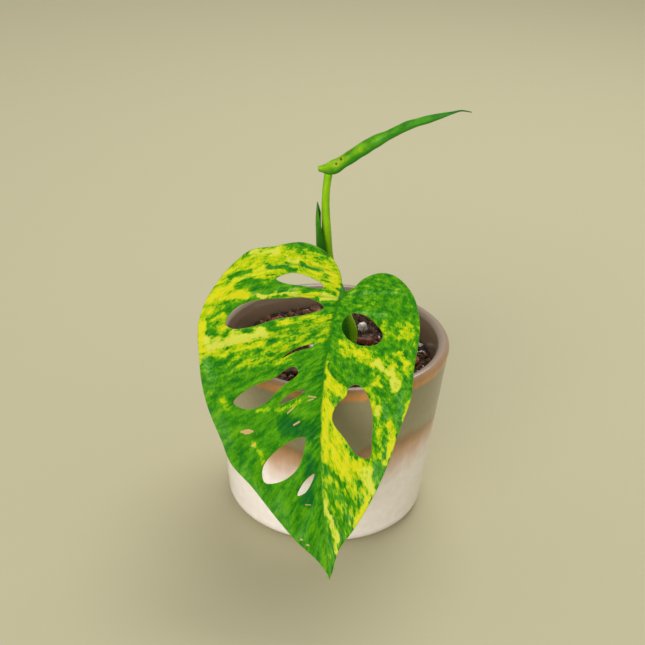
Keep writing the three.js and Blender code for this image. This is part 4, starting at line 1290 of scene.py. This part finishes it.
class MONSTERA_OT_stage(bpy.types.Operator):
    """Set the floor, the lights and the camera"""
    bl_idname = "monstera.stage"
    bl_label = "Stage"

    def execute(self, context):
        settings = context.scene.monstera_stage
        scene = context.scene
        floor_finish, _, shader = new_material("plain_floor")
        set_inputs(shader, {"Base Color": (*settings.floor, 1), "Roughness": 0.9, "Specular IOR Level": 0.1})
        mesh = bpy.data.meshes.new("floor")
        reach, level = 4.0, -0.0002  # a hair below the pot's base
        corners = [(-reach, -reach), (reach, -reach), (reach, reach), (-reach, reach)]
        mesh.from_pydata([(x, y, level) for x, y in corners], [], [(0, 1, 2, 3)])
        mesh.materials.append(floor_finish)
        floor = bpy.data.objects.new("floor", mesh)
        scene.collection.objects.link(floor)

        world = bpy.data.worlds.new("soft_room")
        world.use_nodes = True
        set_inputs(world.node_tree.nodes["Background"], {"Color": "#f4f5f2", "Strength": settings.fill})
        scene.world = world
        aim = Vector((0, 0, 0.09))
        for name, place, size, power in (
            ("key", (0.25, 0.6, 1.2), 1.0, settings.key), ("front_fill", (-0.75, -2.1, 0.75), 1.5, 40.0),
        ):
            light = bpy.data.lights.new(name, "AREA")
            light.shape = "DISK"
            light.size = size
            light.energy = power
            lamp = bpy.data.objects.new(name, light)
            lamp.location = place
            lamp.rotation_euler = (aim - Vector(place)).to_track_quat("-Z", "Y").to_euler()
            scene.collection.objects.link(lamp)

        down, roll = math.radians(27.2), math.radians(2.8)
        forward = Vector((0, math.cos(down), -math.sin(down)))
        right, upward = Vector((1, 0, 0)), Vector((0, math.sin(down), math.cos(down)))
        x = math.cos(roll) * right + math.sin(roll) * upward
        y = -math.sin(roll) * right + math.cos(roll) * upward
        camera = bpy.data.objects.new("camera", bpy.data.cameras.new("camera"))
        camera.data.lens = 69.77
        camera.data.sensor_width = 36
        camera.data.clip_start = 0.01
        target, distance = Vector((-0.005, 0, 0.097)), 0.6092
        turned = Matrix((x, y, -forward)).transposed().to_4x4()
        camera.matrix_world = Matrix.Translation(target - distance * forward) @ turned
        scene.collection.objects.link(camera)
        scene.camera = camera
        scene.view_settings.view_transform = "Standard"
        return {"FINISHED"}


# ---------- the add-on ----------
SETTINGS = {
    "monstera_pot": MonsteraPotSettings, "monstera_soil": MonsteraSoilSettings,
    "monstera_stalks": MonsteraStalkSettings, "monstera_leaf": MonsteraLeafSettings,
    "monstera_stage": MonsteraStageSettings,
}
OPERATORS = [
    MONSTERA_OT_pot, MONSTERA_OT_potting_mix, MONSTERA_OT_bark, MONSTERA_OT_perlite, MONSTERA_OT_stem,
    MONSTERA_OT_petiole, MONSTERA_OT_new_petiole, MONSTERA_OT_new_roll, MONSTERA_OT_blade, MONSTERA_OT_stage,
]


class MONSTERA_PT_panel(bpy.types.Panel):
    """The plant's settings and its pieces, in the order they are made"""
    bl_label = "Potted monstera"
    bl_idname = "MONSTERA_PT_panel"
    bl_space_type = "VIEW_3D"
    bl_region_type = "UI"
    bl_category = "Monstera"

    def draw(self, context):
        for key, group in SETTINGS.items():
            box = self.layout.box()
            for name in group.__annotations__:
                box.prop(getattr(context.scene, key), name)
        for operator in OPERATORS:
            self.layout.operator(operator.bl_idname)


def register():
    for kind in [*SETTINGS.values(), *OPERATORS, MONSTERA_PT_panel]:
        bpy.utils.register_class(kind)
    for key, group in SETTINGS.items():
        setattr(bpy.types.Scene, key, PointerProperty(type=group))


def unregister():
    for key in SETTINGS:
        delattr(bpy.types.Scene, key)
    for kind in reversed([*SETTINGS.values(), *OPERATORS, MONSTERA_PT_panel]):
        bpy.utils.unregister_class(kind)


def main():
    register()
    bpy.ops.monstera.pot()
    bpy.ops.monstera.potting_mix()
    bpy.ops.monstera.bark()
    bpy.ops.monstera.perlite()
    bpy.ops.monstera.stem()
    bpy.ops.monstera.petiole()
    bpy.ops.monstera.new_petiole()
    bpy.ops.monstera.new_roll()
    bpy.ops.monstera.blade()
    bpy.ops.monstera.stage()


if __name__ == "__main__":
    main()
